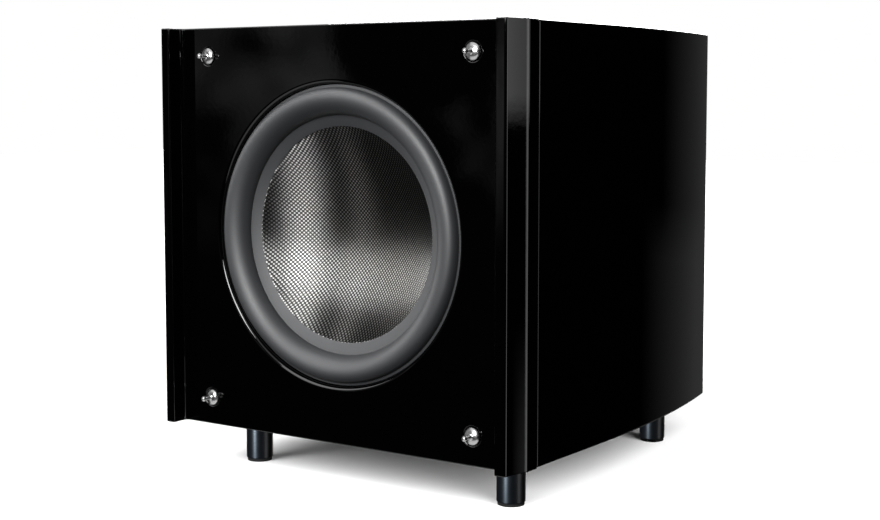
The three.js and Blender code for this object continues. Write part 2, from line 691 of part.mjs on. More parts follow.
function ampPlate() {
  const outline = roundedRectangle(0, PLATE_Z, PLATE.width, PLATE.height, 6);
  const [y0, y1] = [PLATE_INNER_Y - 1, PLATE_OUTER_Y + 1];
  const slot = { width: LEVER.size + 1, height: LEVER.size + LEVER.travel + 1 };
  return cut(panel(outline, PLATE_INNER_Y, PLATE_OUTER_Y), [
    hole(LEVEL_KNOB, KNOB.shaftRadius + 0.6, y0, y1, 12),
    hole(CROSSOVER_KNOB, KNOB.shaftRadius + 0.6, y0, y1, 12),
    hole(STATUS_LED, 2.8, y0, y1, 12),
    ...LINE_INPUTS.x.map((x) => hole({ x, z: LINE_INPUTS.z }, LINE_JACK.nut + GAP, y0, y1, 12)),
    windowIn(PHASE_SWITCH, slot, y0, y1),
    windowIn(POWER_SWITCH, SWITCH_WINDOW, y0, y1),
    windowIn(MAINS_INLET, INLET_WINDOW, y0, y1),
  ]);
}

function ampSeal() {
  const outer = roundedRectangle(0, PLATE_Z, PLATE.width - 1, PLATE.height - 1, 6);
  const inner = roundedRectangle(0, PLATE_Z, CUTOUT.width + 2, CUTOUT.height + 2, 8);
  return cut(panel(outer, REBATE_Y + GAP, REBATE_Y + GAP + SEAL_THICKNESS), [
    panel(inner, REBATE_Y - 1, REBATE_Y + SEAL_THICKNESS + 2),
  ]);
}

// An extruded heatsink: a comb outline with its fins upright.
function heatsink() {
  const { x, width, height, base, fin, fins, finThickness } = HEATSINK;
  const innerY = PLATE_OUTER_Y + GAP;
  const pitch = (width - finThickness) / (fins - 1);
  const left = x - width / 2;
  const outline = [[left, innerY]];
  for (let i = 0; i < fins; i += 1) {
    const start = left + i * pitch;
    if (i > 0) outline.push([start, innerY + base]);
    outline.push([start, innerY + base + fin], [start + finThickness, innerY + base + fin]);
    if (i < fins - 1) outline.push([start + finThickness, innerY + base]);
  }
  outline.push([left + width, innerY]);
  const shape = new THREE.Shape(outline.map(([px, py]) => new THREE.Vector2(px, py)));
  return upright(shape, PLATE_Z - height / 2, PLATE_Z + height / 2);
}

function circuitBoard() {
  const board = { left: -110, right: 112, low: 172, high: 324 };
  const inset = 5;
  const posts = [];
  for (const x of [board.left + inset, board.right - inset]) {
    for (const z of [board.low + inset, board.high - inset]) {
      posts.push(hole({ x, z }, 3, BOARD_Y + 0.5, PLATE_INNER_Y - GAP, 8));
    }
  }
  return join([
    box(board.left, board.right, BOARD_Y, BOARD_Y + BOARD_THICKNESS, board.low, board.high),
    ...posts,
  ]);
}

// A toroidal transformer on the plate's inner face, held by a bolt and a dished washer.
const TRANSFORMER = { x: -64, z: 118, radius: 40, bore: 13, depth: 36 };

function transformer() {
  const { x, z, radius, bore, depth } = TRANSFORMER;
  const [y0, y1] = [PLATE_INNER_Y - GAP - depth, PLATE_INNER_Y - GAP];
  const round = 7;
  return turnedAt(x, z, [
    [bore, y0 + round], [bore + round, y0], [radius - round, y0], [radius, y0 + round],
    [radius, y1 - round], [radius - round, y1], [bore + round, y1], [bore, y1 - round],
    [bore, y0 + round],
  ], 28);
}

function transformerBolt() {
  const { x, z, depth } = TRANSFORMER;
  const frontY = PLATE_INNER_Y - GAP - depth - GAP;
  return turnedAt(x, z, [
    [0, frontY - 7], [5, frontY - 7], [5, frontY - 2], [24, frontY - 2], [24, frontY],
    [3, frontY], [3, PLATE_INNER_Y - GAP], [0, PLATE_INNER_Y - GAP],
  ], 14);
}

const CAPACITOR = { x: [-52, -14], z: 236, radius: 15, length: 38, edge: 1 };

function capacitor(x) {
  const { z, radius, length, edge } = CAPACITOR;
  const [y0, y1] = [BOARD_Y - length, BOARD_Y - GAP];
  return turnedAt(x, z, [
    [0, y0], [radius - edge, y0], [radius, y0 + edge], [radius, y1], [0, y1],
  ], 16);
}

function potentiometer(place) {
  const body = 8.5;
  const frontY = PLATE_INNER_Y - GAP - 12;
  const shell = box(
    place.x - body, place.x + body, frontY, PLATE_INNER_Y - GAP, place.z - body, place.z + body,
  );
  return cut(shell, [hole(place, KNOB.shaftRadius + GAP, frontY + 2, PLATE_INNER_Y + 1, 12)]);
}

// A knob with a pointer groove across its face, in one piece with its shaft.
function knob(place) {
  const backY = PLATE_OUTER_Y + 1.2;
  const faceY = backY + KNOB.length;
  const shaftY = PLATE_INNER_Y - 9;
  const body = turnedAt(place.x, place.z, [
    [0, shaftY], [KNOB.shaftRadius, shaftY], [KNOB.shaftRadius, backY], [KNOB.radius, backY],
    [KNOB.radius - 0.6, faceY - 1.2], [KNOB.radius - 1.8, faceY], [0, faceY],
  ], 24);
  const groove = box(
    place.x - 0.8, place.x + 0.8, faceY - 1, faceY + 1, place.z + 2, place.z + KNOB.radius + 1,
  );
  return cut(body, [groove]);
}

// The slide switch: a case with a pocket, and a lever that stands through the plate's slot.
function phaseSwitchBody() {
  const { x, z } = PHASE_SWITCH;
  const [frontY, backY] = [PLATE_INNER_Y - GAP - 8, PLATE_INNER_Y - GAP];
  const halfSlot = (LEVER.size + 1) / 2;
  const halfRun = (LEVER.size + LEVER.travel + 1) / 2;
  const pocket = box(
    x - halfSlot, x + halfSlot, frontY + 1.5, backY + 1, z - halfRun, z + halfRun,
  );
  return cut(box(x - 6, x + 6, frontY, backY, z - 11, z + 11), [pocket]);
}

function phaseLever() {
  const { x, z } = PHASE_SWITCH;
  const low = z - (LEVER.size + LEVER.travel) / 2;
  return box(
    x - LEVER.size / 2, x + LEVER.size / 2,
    PLATE_INNER_Y - GAP - 6, PLATE_OUTER_Y + 3.4, low, low + LEVER.size,
  );
}

// The power switch: a bezel and case with a pocket, and a rocker that tips about a level pin.
const SWITCH_CASE = { bezel: 1.6, depth: 20, pocketDepth: 13 };
const ROCKER_PIVOT_Y = PLATE_OUTER_Y - 3;

function powerSwitchHousing() {
  const { x, z } = POWER_SWITCH;
  const bezelY = PLATE_OUTER_Y + GAP;
  const shell = join([
    windowIn(POWER_SWITCH, { width: 24, height: 32 }, bezelY, bezelY + SWITCH_CASE.bezel),
    box(
      x - SWITCH_WINDOW.width / 2 + GAP, x + SWITCH_WINDOW.width / 2 - GAP,
      PLATE_OUTER_Y - SWITCH_CASE.depth, bezelY + 0.5,
      z - SWITCH_WINDOW.height / 2 + GAP, z + SWITCH_WINDOW.height / 2 - GAP,
    ),
  ]);
  const pocket = box(
    x - ROCKER.halfWidth - 0.5, x + ROCKER.halfWidth + 0.5,
    PLATE_OUTER_Y - SWITCH_CASE.pocketDepth, bezelY + SWITCH_CASE.bezel + 1,
    z - ROCKER.halfLength - 1, z + ROCKER.halfLength + 1,
  );
  return cut(shell, [pocket]);
}

// The rocker's side view: a shallow vee on top of a rounded block, tipped to its off side.
function powerRocker() {
  const { x, z } = POWER_SWITCH;
  const { halfWidth, halfLength, restAngle } = ROCKER;
  const outline = new THREE.Shape();
  outline.moveTo(-halfLength, 7);
  outline.lineTo(0, 4.6);
  outline.lineTo(halfLength, 7);
  outline.lineTo(halfLength - 0.6, 0.5);
  outline.lineTo(4, -4);
  outline.lineTo(-4, -4);
  outline.lineTo(-halfLength + 0.6, 0.5);
  outline.closePath();
  const block = new THREE.ExtrudeGeometry(outline, { depth: 2 * halfWidth, bevelEnabled: false });
  block.translate(0, 0, -halfWidth);
  block.rotateZ(-restAngle * (Math.PI / 180));
  // the outline's x becomes -Z, its y becomes +Y and the pull direction becomes X
  block.rotateY(Math.PI / 2);
  return block.translate(x, ROCKER_PIVOT_Y, z);
}

// The mains inlet: a flanged case with an open socket and three blades in it.
const SOCKET = { width: 24, height: 16.6, depth: 16, bladeLength: 13 };

function mainsInlet() {
  const { x, z } = MAINS_INLET;
  const flangeY = PLATE_OUTER_Y + GAP;
  const mouthY = flangeY + 2.2;
  const floorY = mouthY - SOCKET.depth;
  const shell = join([
    windowIn(MAINS_INLET, { width: 48, height: 27 }, flangeY, mouthY),
    box(
      x - INLET_WINDOW.width / 2 + GAP, x + INLET_WINDOW.width / 2 - GAP, floorY - 3, flangeY + 1,
      z - INLET_WINDOW.height / 2 + GAP, z + INLET_WINDOW.height / 2 - GAP,
    ),
  ]);
  const socket = new THREE.Shape();
  const [halfWide, halfHigh, corner] = [SOCKET.width / 2, SOCKET.height / 2, 5];
  socket.moveTo(x - halfWide, z - halfHigh);
  socket.lineTo(x + halfWide, z - halfHigh);
  socket.lineTo(x + halfWide, z + halfHigh - corner);
  socket.lineTo(x + halfWide - corner, z + halfHigh);
  socket.lineTo(x - halfWide + corner, z + halfHigh);
  socket.lineTo(x - halfWide, z + halfHigh - corner);
  socket.closePath();
  const open = cut(shell, [panel(socket, floorY, mouthY + 1)]);
  const blades = [[-7, -2], [7, -2], [0, 2]].map(([bx, bz]) => (
    box(x + bx - 1, x + bx + 1, floorY - 1, floorY + SOCKET.bladeLength, z + bz - 2, z + bz + 2)
  ));
  return join([open, ...blades]);
}

// A line input: a plated barrel with a centre bore, a collar outside and its body inside.
function lineInput(x) {
  const collarY = PLATE_OUTER_Y + GAP;
  const { barrel, collar, nut } = LINE_JACK;
  return turnedAt(x, LINE_INPUTS.z, [
    [0, PLATE_INNER_Y - 9], [nut, PLATE_INNER_Y - 9], [nut, collarY], [collar, collarY],
    [collar, collarY + 1.8], [barrel, collarY + 2.2], [barrel, collarY + 10],
    [1.7, collarY + 10], [1.7, collarY - 2], [0, collarY - 2],
  ], 16);
}

function statusLed() {
  const faceY = PLATE_OUTER_Y + 1.6;
  return turnedAt(STATUS_LED.x, STATUS_LED.z, [
    [0, PLATE_INNER_Y - 5], [2.5, PLATE_INNER_Y - 5], [2.5, faceY - 1.2], [1.6, faceY - 0.3], [0, faceY],
  ], 12);
}

piece('amp_plate', ampPlate(), blackMetal);
piece('amp_seal', ampSeal(), blackRubber);
piece('heatsink', heatsink(), blackMetal);
piece('circuit_board', circuitBoard(), boardGreen);
piece('power_transformer', transformer(), blackPlastic);
piece('transformer_bolt', transformerBolt(), zincSteel);
piece('capacitor_left', capacitor(CAPACITOR.x[0]), blackPlastic);
piece('capacitor_right', capacitor(CAPACITOR.x[1]), blackPlastic);
piece('level_potentiometer', potentiometer(LEVEL_KNOB), zincSteel);
piece('crossover_potentiometer', potentiometer(CROSSOVER_KNOB), zincSteel);
piece('level_knob', knob(LEVEL_KNOB), blackPlastic);
piece('crossover_knob', knob(CROSSOVER_KNOB), blackPlastic);
piece('phase_switch_body', phaseSwitchBody(), blackPlastic);
piece('phase_lever', phaseLever(), blackPlastic);
piece('power_switch_housing', powerSwitchHousing(), blackPlastic);
piece('power_rocker', powerRocker(), blackPlastic);
piece('mains_inlet', mainsInlet(), blackPlastic);
piece('line_input_left', lineInput(LINE_INPUTS.x[0]), gold);
piece('line_input_right', lineInput(LINE_INPUTS.x[1]), gold);
piece('status_led', statusLed(), ledGreen);

// ---------- place the assembly on the floor, centred on its footprint ----------

assembly.position.set(0, -(REAR_Y - WING_DEPTH) / 2, FOOT_HEIGHT);

const subwoofer = new THREE.Group();
subwoofer.add(assembly);

export default subwoofer;
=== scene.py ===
"""Looks of the powered subwoofer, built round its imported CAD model. Metres, +Z up."""

import json
import math

import bmesh
import bpy
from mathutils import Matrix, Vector
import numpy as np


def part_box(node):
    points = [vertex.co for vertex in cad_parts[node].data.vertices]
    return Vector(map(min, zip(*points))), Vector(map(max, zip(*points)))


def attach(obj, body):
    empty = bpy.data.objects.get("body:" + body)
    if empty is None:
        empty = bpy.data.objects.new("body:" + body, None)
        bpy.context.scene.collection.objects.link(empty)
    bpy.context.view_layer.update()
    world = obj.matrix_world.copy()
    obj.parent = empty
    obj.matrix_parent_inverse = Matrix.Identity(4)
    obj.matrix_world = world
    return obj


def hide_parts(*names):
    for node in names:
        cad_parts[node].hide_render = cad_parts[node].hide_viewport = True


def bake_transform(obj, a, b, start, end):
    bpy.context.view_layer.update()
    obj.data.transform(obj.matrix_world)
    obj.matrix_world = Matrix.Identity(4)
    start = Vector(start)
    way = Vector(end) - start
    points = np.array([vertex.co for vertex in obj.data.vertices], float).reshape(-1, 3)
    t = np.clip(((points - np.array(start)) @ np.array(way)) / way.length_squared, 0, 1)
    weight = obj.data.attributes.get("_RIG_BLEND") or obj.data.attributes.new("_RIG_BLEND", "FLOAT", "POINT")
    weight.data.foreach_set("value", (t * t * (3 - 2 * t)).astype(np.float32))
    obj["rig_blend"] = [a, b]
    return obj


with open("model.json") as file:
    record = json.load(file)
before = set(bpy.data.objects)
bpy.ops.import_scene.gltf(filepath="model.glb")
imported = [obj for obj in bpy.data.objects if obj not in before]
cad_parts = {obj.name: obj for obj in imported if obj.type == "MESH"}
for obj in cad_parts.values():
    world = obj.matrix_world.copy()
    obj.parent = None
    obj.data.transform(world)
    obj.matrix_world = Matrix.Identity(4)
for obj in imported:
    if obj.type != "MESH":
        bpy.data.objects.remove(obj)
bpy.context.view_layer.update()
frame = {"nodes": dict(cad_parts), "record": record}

MM = 0.001

# ---------- places and sizes from the frame ----------

side_low, side_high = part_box("cabinet_right_side")
baffle_low, baffle_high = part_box("front_baffle")
cone_low, cone_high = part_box("cone")

FRONT, BACK = side_low.y, side_high.y           # front and back edges of the cabinet walls
LOW, HIGH = side_low.z, side_high.z             # underside and top of the cabinet
HALF_WIDTH = side_high.x
BAFFLE_FORWARD = 27.2 * MM                      # from the walls' front edge to the baffle's face
FACE = FRONT - BAFFLE_FORWARD                   # the baffle's flat front face
BAFFLE_THICKNESS = 26 * MM                      # without its wings and its step
AXIS_Z = (LOW + HIGH) / 2                       # height of the driver's axis
SIDE_CURVE_START = FACE + 154 * MM              # the sides are straight up to here
SIDE_CURVE_RADIUS = 1330 * MM
WALL = 18 * MM
WALL_CORNER = 2.6 * MM                          # radius of the cabinet's long edges

# driver, from the baffle face backwards
OPENING_RADIUS = 144.5 * MM
LIP_RADIUS = 4.2 * MM                           # of the opening's rounded edge
SEAT_DEPTH = 14 * MM                            # where the opening widens into its ledge
LEDGE_RADIUS = 155.5 * MM
RIM_RADIUS = 143.7 * MM                         # the surround's outer edge
RIM_DEPTH = 5.5 * MM
ROLL_OUTER = 141 * MM
ROLL_INNER = 115 * MM
ROLL_HEIGHT = 12.8 * MM
CONE_LIP = 10.7 * MM                            # width of the flat lip round the dish
DISH_RADIUS = cone_high.x - CONE_LIP
DISH_DEPTH = 40 * MM
DISH_Y = cone_low.y                             # front of the cone's lip
DISH_CURVATURE = (DISH_RADIUS ** 2 + DISH_DEPTH ** 2) / (2 * DISH_DEPTH)
YARN_PITCH = 1.95 * MM


# ---------- mesh helpers ----------

def make_object(name, vertices, faces):
    mesh = bpy.data.meshes.new(name)
    mesh.from_pydata([tuple(v) for v in vertices], [], faces)
    mesh.update()
    obj = bpy.data.objects.new(name, mesh)
    bpy.context.scene.collection.objects.link(obj)
    return obj


def outward(obj):
    """Join points that coincide and turn every face outwards."""
    bm = bmesh.new()
    bm.from_mesh(obj.data)
    bmesh.ops.remove_doubles(bm, verts=bm.verts, dist=1e-7)
    bmesh.ops.recalc_face_normals(bm, faces=bm.faces)
    bm.to_mesh(obj.data)
    bm.free()
    return obj


def smooth(obj, sharp_degrees=30):
    obj.data.shade_smooth()
    obj.data.set_sharp_from_angle(angle=math.radians(sharp_degrees))
    return obj


def arc(centre_a, centre_b, radius, start, end, steps):
    """Points of an arc in a profile's own two directions; angles in degrees."""
    points = []
    for i in range(steps + 1):
        angle = math.radians(start + (end - start) * i / steps)
        points.append((centre_a + radius * math.cos(angle), centre_b + radius * math.sin(angle)))
    return points


def curve_through(start, control, end, steps):
    """Points of a quadratic curve, without its first point."""
    points = []
    for i in range(1, steps + 1):
        t = i / steps
        points.append(tuple(
            (1 - t) ** 2 * a + 2 * t * (1 - t) * b + t * t * c
            for a, b, c in zip(start, control, end)
        ))
    return points


def turned(name, profile, origin, along="y", segments=96, closed=False):
    """A solid of revolution: profile points are (radius, distance along the axis)."""
    on_axis = 1e-9
    vertices, rings = [], []
    for radius, distance in profile:
        ring = []
        count = 1 if radius < on_axis else segments
        for i in range(count):
            angle = 2 * math.pi * i / segments
            a, b = radius * math.cos(angle), radius * math.sin(angle)
            offset = (a, distance, b) if along == "y" else (a, b, distance)
            ring.append(len(vertices))
            vertices.append(Vector(origin) + Vector(offset))
        rings.append(ring)
    faces = []
    following = rings[1:] + rings[:1] if closed else rings[1:]
    for first, second in zip(rings, following):
        for i in range(segments):
            j = (i + 1) % segments
            if len(first) == 1 and len(second) == 1:
                break
            if len(first) == 1:
                faces.append((first[0], second[i], second[j]))
            elif len(second) == 1:
                faces.append((first[i], first[j], second[0]))
            else:
                faces.append((first[i], first[j], second[j], second[i]))
    return smooth(outward(make_object(name, vertices, faces)))


def lofted(name, sections, closed=False):
    """Loops with the same number of points, joined one to the next."""
    count = len(sections[0])
    vertices = [point for section in sections for point in section]
    faces = []
    spans = len(sections) if closed else len(sections) - 1
    for s in range(spans):
        a, b = s * count, ((s + 1) % len(sections)) * count
        for i in range(count):
            j = (i + 1) % count
            faces.append((a + i, a + j, b + j, b + i))
    if not closed:
        faces.append(tuple(range(count)))
        faces.append(tuple(range((len(sections) - 1) * count, len(sections) * count)))
    return outward(make_object(name, vertices, faces))


def box_mesh(name, low, high):
    xs, ys, zs = zip(low, high)
    corners = [(x, y, z) for x in xs for y in ys for z in zs]
    faces = [(0, 1, 3, 2), (4, 6, 7, 5), (0, 4, 5, 1), (2, 3, 7, 6), (0, 2, 6, 4), (1, 5, 7, 3)]
    return outward(make_object(name, corners, faces))


def apply_modifiers(obj):
    depsgraph = bpy.context.evaluated_depsgraph_get()
    depsgraph.update()
    mesh = bpy.data.meshes.new_from_object(obj.evaluated_get(depsgraph))
    obj.modifiers.clear()
    obj.data = mesh
    return obj


def bevel(obj, width, segments=3, angle=50):
    modifier = obj.modifiers.new("edge_radius", "BEVEL")
    modifier.width = width
    modifier.segments = segments
    modifier.limit_method = "ANGLE"
    modifier.angle_limit = math.radians(angle)
    modifier.harden_normals = False
    return obj


def even_normals(obj):
    modifier = obj.modifiers.new("even_normals", "WEIGHTED_NORMAL")
    modifier.keep_sharp = True
    modifier.weight = 80
    return obj


def boolean(obj, other, operation):
    modifier = obj.modifiers.new(operation.lower(), "BOOLEAN")
    modifier.object = other
    modifier.operation = operation
    modifier.solver = "EXACT"
    apply_modifiers(obj)
    bpy.data.objects.remove(other)
    return obj


def finish_piece(obj, material, body, slot, *replaced):
    """Give a piece its material, the body it rides on and the nodes it replaces; the slot is not used."""
    obj.data.materials.clear()
    obj.data.materials.append(material)
    if body:
        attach(obj, body)
    if replaced:
        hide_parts(*replaced)
    return obj


# ---------- material helpers ----------

def math_node(tree, operation, a, b=0.0, clamp=False):
    node = tree.nodes.new("ShaderNodeMath")
    node.operation = operation
    node.use_clamp = clamp
    for socket, value in zip(node.inputs, (a, b)):
        if isinstance(value, (int, float)):
            socket.default_value = value
        else:
            tree.links.new(value, socket)
    return node.outputs[0]


class Nodes:
    """A material's node tree, with short calls for the nodes used here."""

    def __init__(self, name, color, roughness, metallic=0.0, **sockets):
        self.material = bpy.data.materials.new(name)
        self.material.use_nodes = True
        self.tree = self.material.node_tree
        self.shader = self.tree.nodes["Principled BSDF"]
        self.shader.inputs["Base Color"].default_value = (*color, 1)
        self.shader.inputs["Roughness"].default_value = roughness
        self.shader.inputs["Metallic"].default_value = metallic
        for socket, value in sockets.items():
            self.shader.inputs[socket.replace("_", " ")].default_value = value
        self.place = self.tree.nodes.new("ShaderNodeTexCoord").outputs["Object"]

    def link(self, source, target):
        self.tree.links.new(source, target)

    def math(self, operation, a, b=0.0):
        return math_node(self.tree, operation, a, b)

    def noise(self, scale, detail=3.0, stretch=(1, 1, 1), roughness=0.5):
        mapping = self.tree.nodes.new("ShaderNodeMapping")
        mapping.inputs["Scale"].default_value = stretch
        self.link(self.place, mapping.inputs["Vector"])
        node = self.tree.nodes.new("ShaderNodeTexNoise")
        node.inputs["Scale"].default_value = scale
        node.inputs["Detail"].default_value = detail
        node.inputs["Roughness"].default_value = roughness
        self.link(mapping.outputs[0], node.inputs["Vector"])
        return node.outputs["Fac"]

    def spread(self, value, low, high, from_low=0.3, from_high=0.7):
        """Map a value to low..high; a noise seldom leaves 0.3 to 0.7."""
        node = self.tree.nodes.new("ShaderNodeMapRange")
        node.inputs["From Min"].default_value = from_low
        node.inputs["From Max"].default_value = from_high
        node.inputs["To Min"].default_value = low
        node.inputs["To Max"].default_value = high
        self.link(value, node.inputs["Value"])
        return node.outputs[0]

    def color(self, factor, first, second):
        node = self.tree.nodes.new("ShaderNodeMix")
        node.data_type = "RGBA"
        node.inputs[6].default_value = (*first, 1)
        node.inputs[7].default_value = (*second, 1)
        self.link(factor, node.inputs[0])
        self.link(node.outputs[2], self.shader.inputs["Base Color"])

    def roughness(self, value, low, high):
        self.link(self.spread(value, low, high), self.shader.inputs["Roughness"])

    def bump(self, height, distance):
        node = self.tree.nodes.new("ShaderNodeBump")
        node.inputs["Strength"].default_value = 1.0
        node.inputs["Distance"].default_value = distance
        self.link(height, node.inputs["Height"])
        self.link(node.outputs[0], self.shader.inputs["Normal"])


# ---------- materials ----------

def lacquer_material():
    m = Nodes("piano_lacquer", (0.0004, 0.0004, 0.0005), 0.03)
    m.roughness(m.noise(9, 2), 0.018, 0.045)
    m.bump(m.noise(170, 2), 0.01 * MM)
    return m.material


def rubber_material():
    m = Nodes("surround_rubber", (0.02, 0.0215, 0.024), 0.54)
    m.color(m.noise(60, 4), (0.018, 0.0195, 0.022), (0.022, 0.0235, 0.026))
    m.roughness(m.noise(900, 3), 0.50, 0.58)
    m.shader.inputs["Specular IOR Level"].default_value = 1.0
    m.bump(m.noise(2600, 2), 0.01 * MM)
    return m.material


def weave_material():
    """Two sets of yarns that cross in a checker; each glints along its own direction. In the base colour one
    set carries a painted highlight and the other painted shade, and the gaps between yarns carry painted
    shade.
    """
    m = Nodes("woven_glass_fibre", (0.6, 0.6, 0.59), 0.52, 1.0, Anisotropic=1.0)
    split = m.tree.nodes.new("ShaderNodeSeparateXYZ")
    m.link(m.place, split.inputs[0])
    across = [split.outputs["X"], m.math("SUBTRACT", split.outputs["Z"], AXIS_Z)]

    def checker(pitch):
        cells = [m.math("FLOOR", m.math("DIVIDE", value, pitch)) for value in across]
        return m.math("FLOORED_MODULO", m.math("ADD", *cells), 2)

    parity = checker(YARN_PITCH)
    turn = checker(YARN_PITCH / 2)
    tangent = m.tree.nodes.new("ShaderNodeCombineXYZ")
    m.link(turn, tangent.inputs["X"])
    m.link(m.math("SUBTRACT", 1, turn), tangent.inputs["Z"])
    m.link(tangent.outputs[0], m.shader.inputs["Tangent"])
    m.roughness(m.noise(1400, 2), 0.42, 0.50)

    def crown(value):
        share = m.math("FLOORED_MODULO", m.math("DIVIDE", value, YARN_PITCH), 1)
        return m.math("SINE", m.math("MULTIPLY", share, math.pi))

    # painted shade: the base colour darkens towards the gaps between yarns and is lightest on each crown
    hollow = m.math("MULTIPLY", crown(across[0]), crown(across[1]))
    painted_gap_shade = m.spread(hollow, 0.12, 1.0, 0.0, 0.6)
    lit_yarns, shaded_yarns_darker_by = 0.66, 0.58              # painted highlight on one set of yarns, painted shade on the other
    # one set of yarns painted light and the other painted dark, in place of how each set catches the light
    yarn = m.math("SUBTRACT", lit_yarns, m.math("MULTIPLY", parity, shaded_yarns_darker_by))
    painted_weave_light = m.math("MULTIPLY", yarn, painted_gap_shade)
    shade = m.math("MULTIPLY", painted_weave_light, m.spread(m.noise(300, 3), 0.85, 1.15))
    m.color(shade, (0.0, 0.0, 0.0), (1.0, 1.0, 0.98))
    return m.material


def laminate_material():
    m = Nodes("cone_laminate", (0.02, 0.02, 0.021), 0.5)
    m.roughness(m.noise(400, 3), 0.4, 0.6)
    m.bump(m.noise(900, 3), 0.03 * MM)
    return m.material


def chrome_material():
    m = Nodes("bright_chrome", (0.60, 0.60, 0.60), 0.26, 1.0)
    m.roughness(m.noise(240, 4), 0.22, 0.30)
    m.bump(m.noise(700, 2), 0.004 * MM)
    return m.material


def foot_material():
    m = Nodes("foot_metal", (0.018, 0.018, 0.02), 0.34, 0.5)
    m.roughness(m.noise(40, 3, (1, 1, 60)), 0.28, 0.40)
    m.bump(m.noise(60, 2, (1, 1, 60)), 0.006 * MM)
    return m.material


def plastic_material(name, color, low=0.38, high=0.55, grain=1800):
    m = Nodes(name, color, (low + high) / 2)
    m.roughness(m.noise(grain / 4, 3), low, high)
    m.bump(m.noise(grain, 2), 0.02 * MM)
    return m.material


def black_rubber_material():
    m = Nodes("black_rubber", (0.012, 0.012, 0.012), 0.7)
    m.roughness(m.noise(500, 3), 0.6, 0.85)
    m.bump(m.noise(1500, 3), 0.04 * MM)
    return m.material


def brushed_material(name, color, metallic, low, high, stretch):
    m = Nodes(name, color, (low + high) / 2, metallic)
    streaks = m.noise(30, 4, stretch)
    m.roughness(streaks, low, high)
    m.bump(streaks, 0.012 * MM)
    return m.material


def cast_material():
    m = Nodes("cast_frame", (0.025, 0.025, 0.027), 0.55, 0.2)
    m.roughness(m.noise(300, 4), 0.45, 0.7)
    m.bump(m.noise(700, 3), 0.08 * MM)
    return m.material


def board_material(name, dark, light):
    m = Nodes(name, dark, 0.75)
    m.color(m.noise(220, 6), dark, light)
    m.roughness(m.noise(400, 4), 0.65, 0.9)
    m.bump(m.noise(1200, 4), 0.05 * MM)
    return m.material


def cloth_material():
    m = Nodes("suspension_cloth", (0.36, 0.17, 0.05), 0.75)
    thread_pitch = 1.1 * MM
    split = m.tree.nodes.new("ShaderNodeSeparateXYZ")
    m.link(m.place, split.inputs[0])
    threads = [
        m.math("SINE", m.math("MULTIPLY", split.outputs[axis], 2 * math.pi / thread_pitch))
        for axis in ("X", "Z")
    ]
    woven = m.math("MULTIPLY", *threads)
    m.color(m.spread(woven, 0, 1, -1, 1), (0.30, 0.13, 0.035), (0.46, 0.24, 0.08))
    m.bump(woven, 0.1 * MM)
    return m.material


def wadding_material():
    m = Nodes("wadding", (0.7, 0.68, 0.62), 0.95)
    m.color(m.noise(90, 6), (0.60, 0.58, 0.52), (0.82, 0.80, 0.75))
    m.bump(m.noise(160, 6, roughness=0.7), 3 * MM)
    return m.material


LACQUER = lacquer_material()
CHROME = chrome_material()
RUBBER = rubber_material()
WEAVE = weave_material()
BLACK_RUBBER = black_rubber_material()
MARKING = plastic_material("bare_mark", (0.62, 0.62, 0.60), 0.45, 0.6)
BLACK_PLASTIC = plastic_material("black_plastic", (0.014, 0.014, 0.015))
AMP_METAL = brushed_material("amp_metal", (0.022, 0.022, 0.024), 0.6, 0.32, 0.48, (1, 1, 60))
ZINC = brushed_material("zinc_steel", (0.50, 0.50, 0.52), 1.0, 0.25, 0.42, (20, 20, 1))
GOLD = brushed_material("gold_plate", (0.80, 0.56, 0.24), 1.0, 0.12, 0.24, (1, 20, 1))

SLOT_MATERIALS = {
    "piano_lacquer": LACQUER,
    "raw_board": board_material("raw_board", (0.32, 0.21, 0.12), (0.45, 0.32, 0.20)),
    "bright_chrome": CHROME,
    "foot_metal": foot_material(),
    "black_rubber": BLACK_RUBBER,
    "surround_rubber": RUBBER,
    "woven_glass_fibre": WEAVE,
    "cast_frame": cast_material(),
    "suspension_cloth": cloth_material(),
    "coil_former": plastic_material("coil_former", (0.22, 0.09, 0.015), 0.25, 0.4),
    "copper_wire": brushed_material("copper_wire", (0.60, 0.24, 0.09), 1.0, 0.25, 0.45, (1, 90, 1)),
    "zinc_steel": ZINC,
    "ferrite": board_material("ferrite", (0.025, 0.025, 0.028), (0.045, 0.045, 0.05)),
    "black_plastic": BLACK_PLASTIC,
    "amp_metal": AMP_METAL,
    "board_laminate": plastic_material("board_laminate", (0.015, 0.11, 0.04), 0.25, 0.4),
    "gold_plate": GOLD,
    "led_lens": plastic_material("led_lens", (0.08, 0.45, 0.14), 0.08, 0.16),
    "red_insulation": plastic_material("red_insulation", (0.40, 0.02, 0.02), 0.35, 0.5),
    "black_insulation": plastic_material("black_insulation", (0.014, 0.014, 0.014), 0.35, 0.5),
    "wadding": wadding_material(),
}


def dress_cad_nodes():
    """Every carried-over node gets its slot's material, and the hard ones a small edge radius."""
    slots = {row["node"]: row["material_slot"] for row in frame["record"]["subparts"]}
    edge_radii = {                              # in millimetres
        "cabinet_back": 0.8, "amp_plate": 0.4, "heatsink": 0.35, "power_switch_housing": 0.35,
        "power_rocker": 0.5, "mains_inlet": 0.3, "phase_lever": 0.25, "terminal_block": 0.4,
        "window_brace": 1.0, "capacitor_left": 0.5, "capacitor_right": 0.5,
    }
    for name, node in frame["nodes"].items():
        node.data.materials.clear()
        node.data.materials.append(SLOT_MATERIALS[slots[name]])
        if name in edge_radii:
            bevel(node, edge_radii[name] * MM, 2, 40)


# ---------- cabinet ----------

def half_width_at(y):
    """Half the cabinet's width at depth y: its sides curve in towards the back."""
    along = max(0.0, y - SIDE_CURVE_START)
    centre = HALF_WIDTH - SIDE_CURVE_RADIUS
    return centre + math.sqrt(SIDE_CURVE_RADIUS ** 2 - along ** 2)


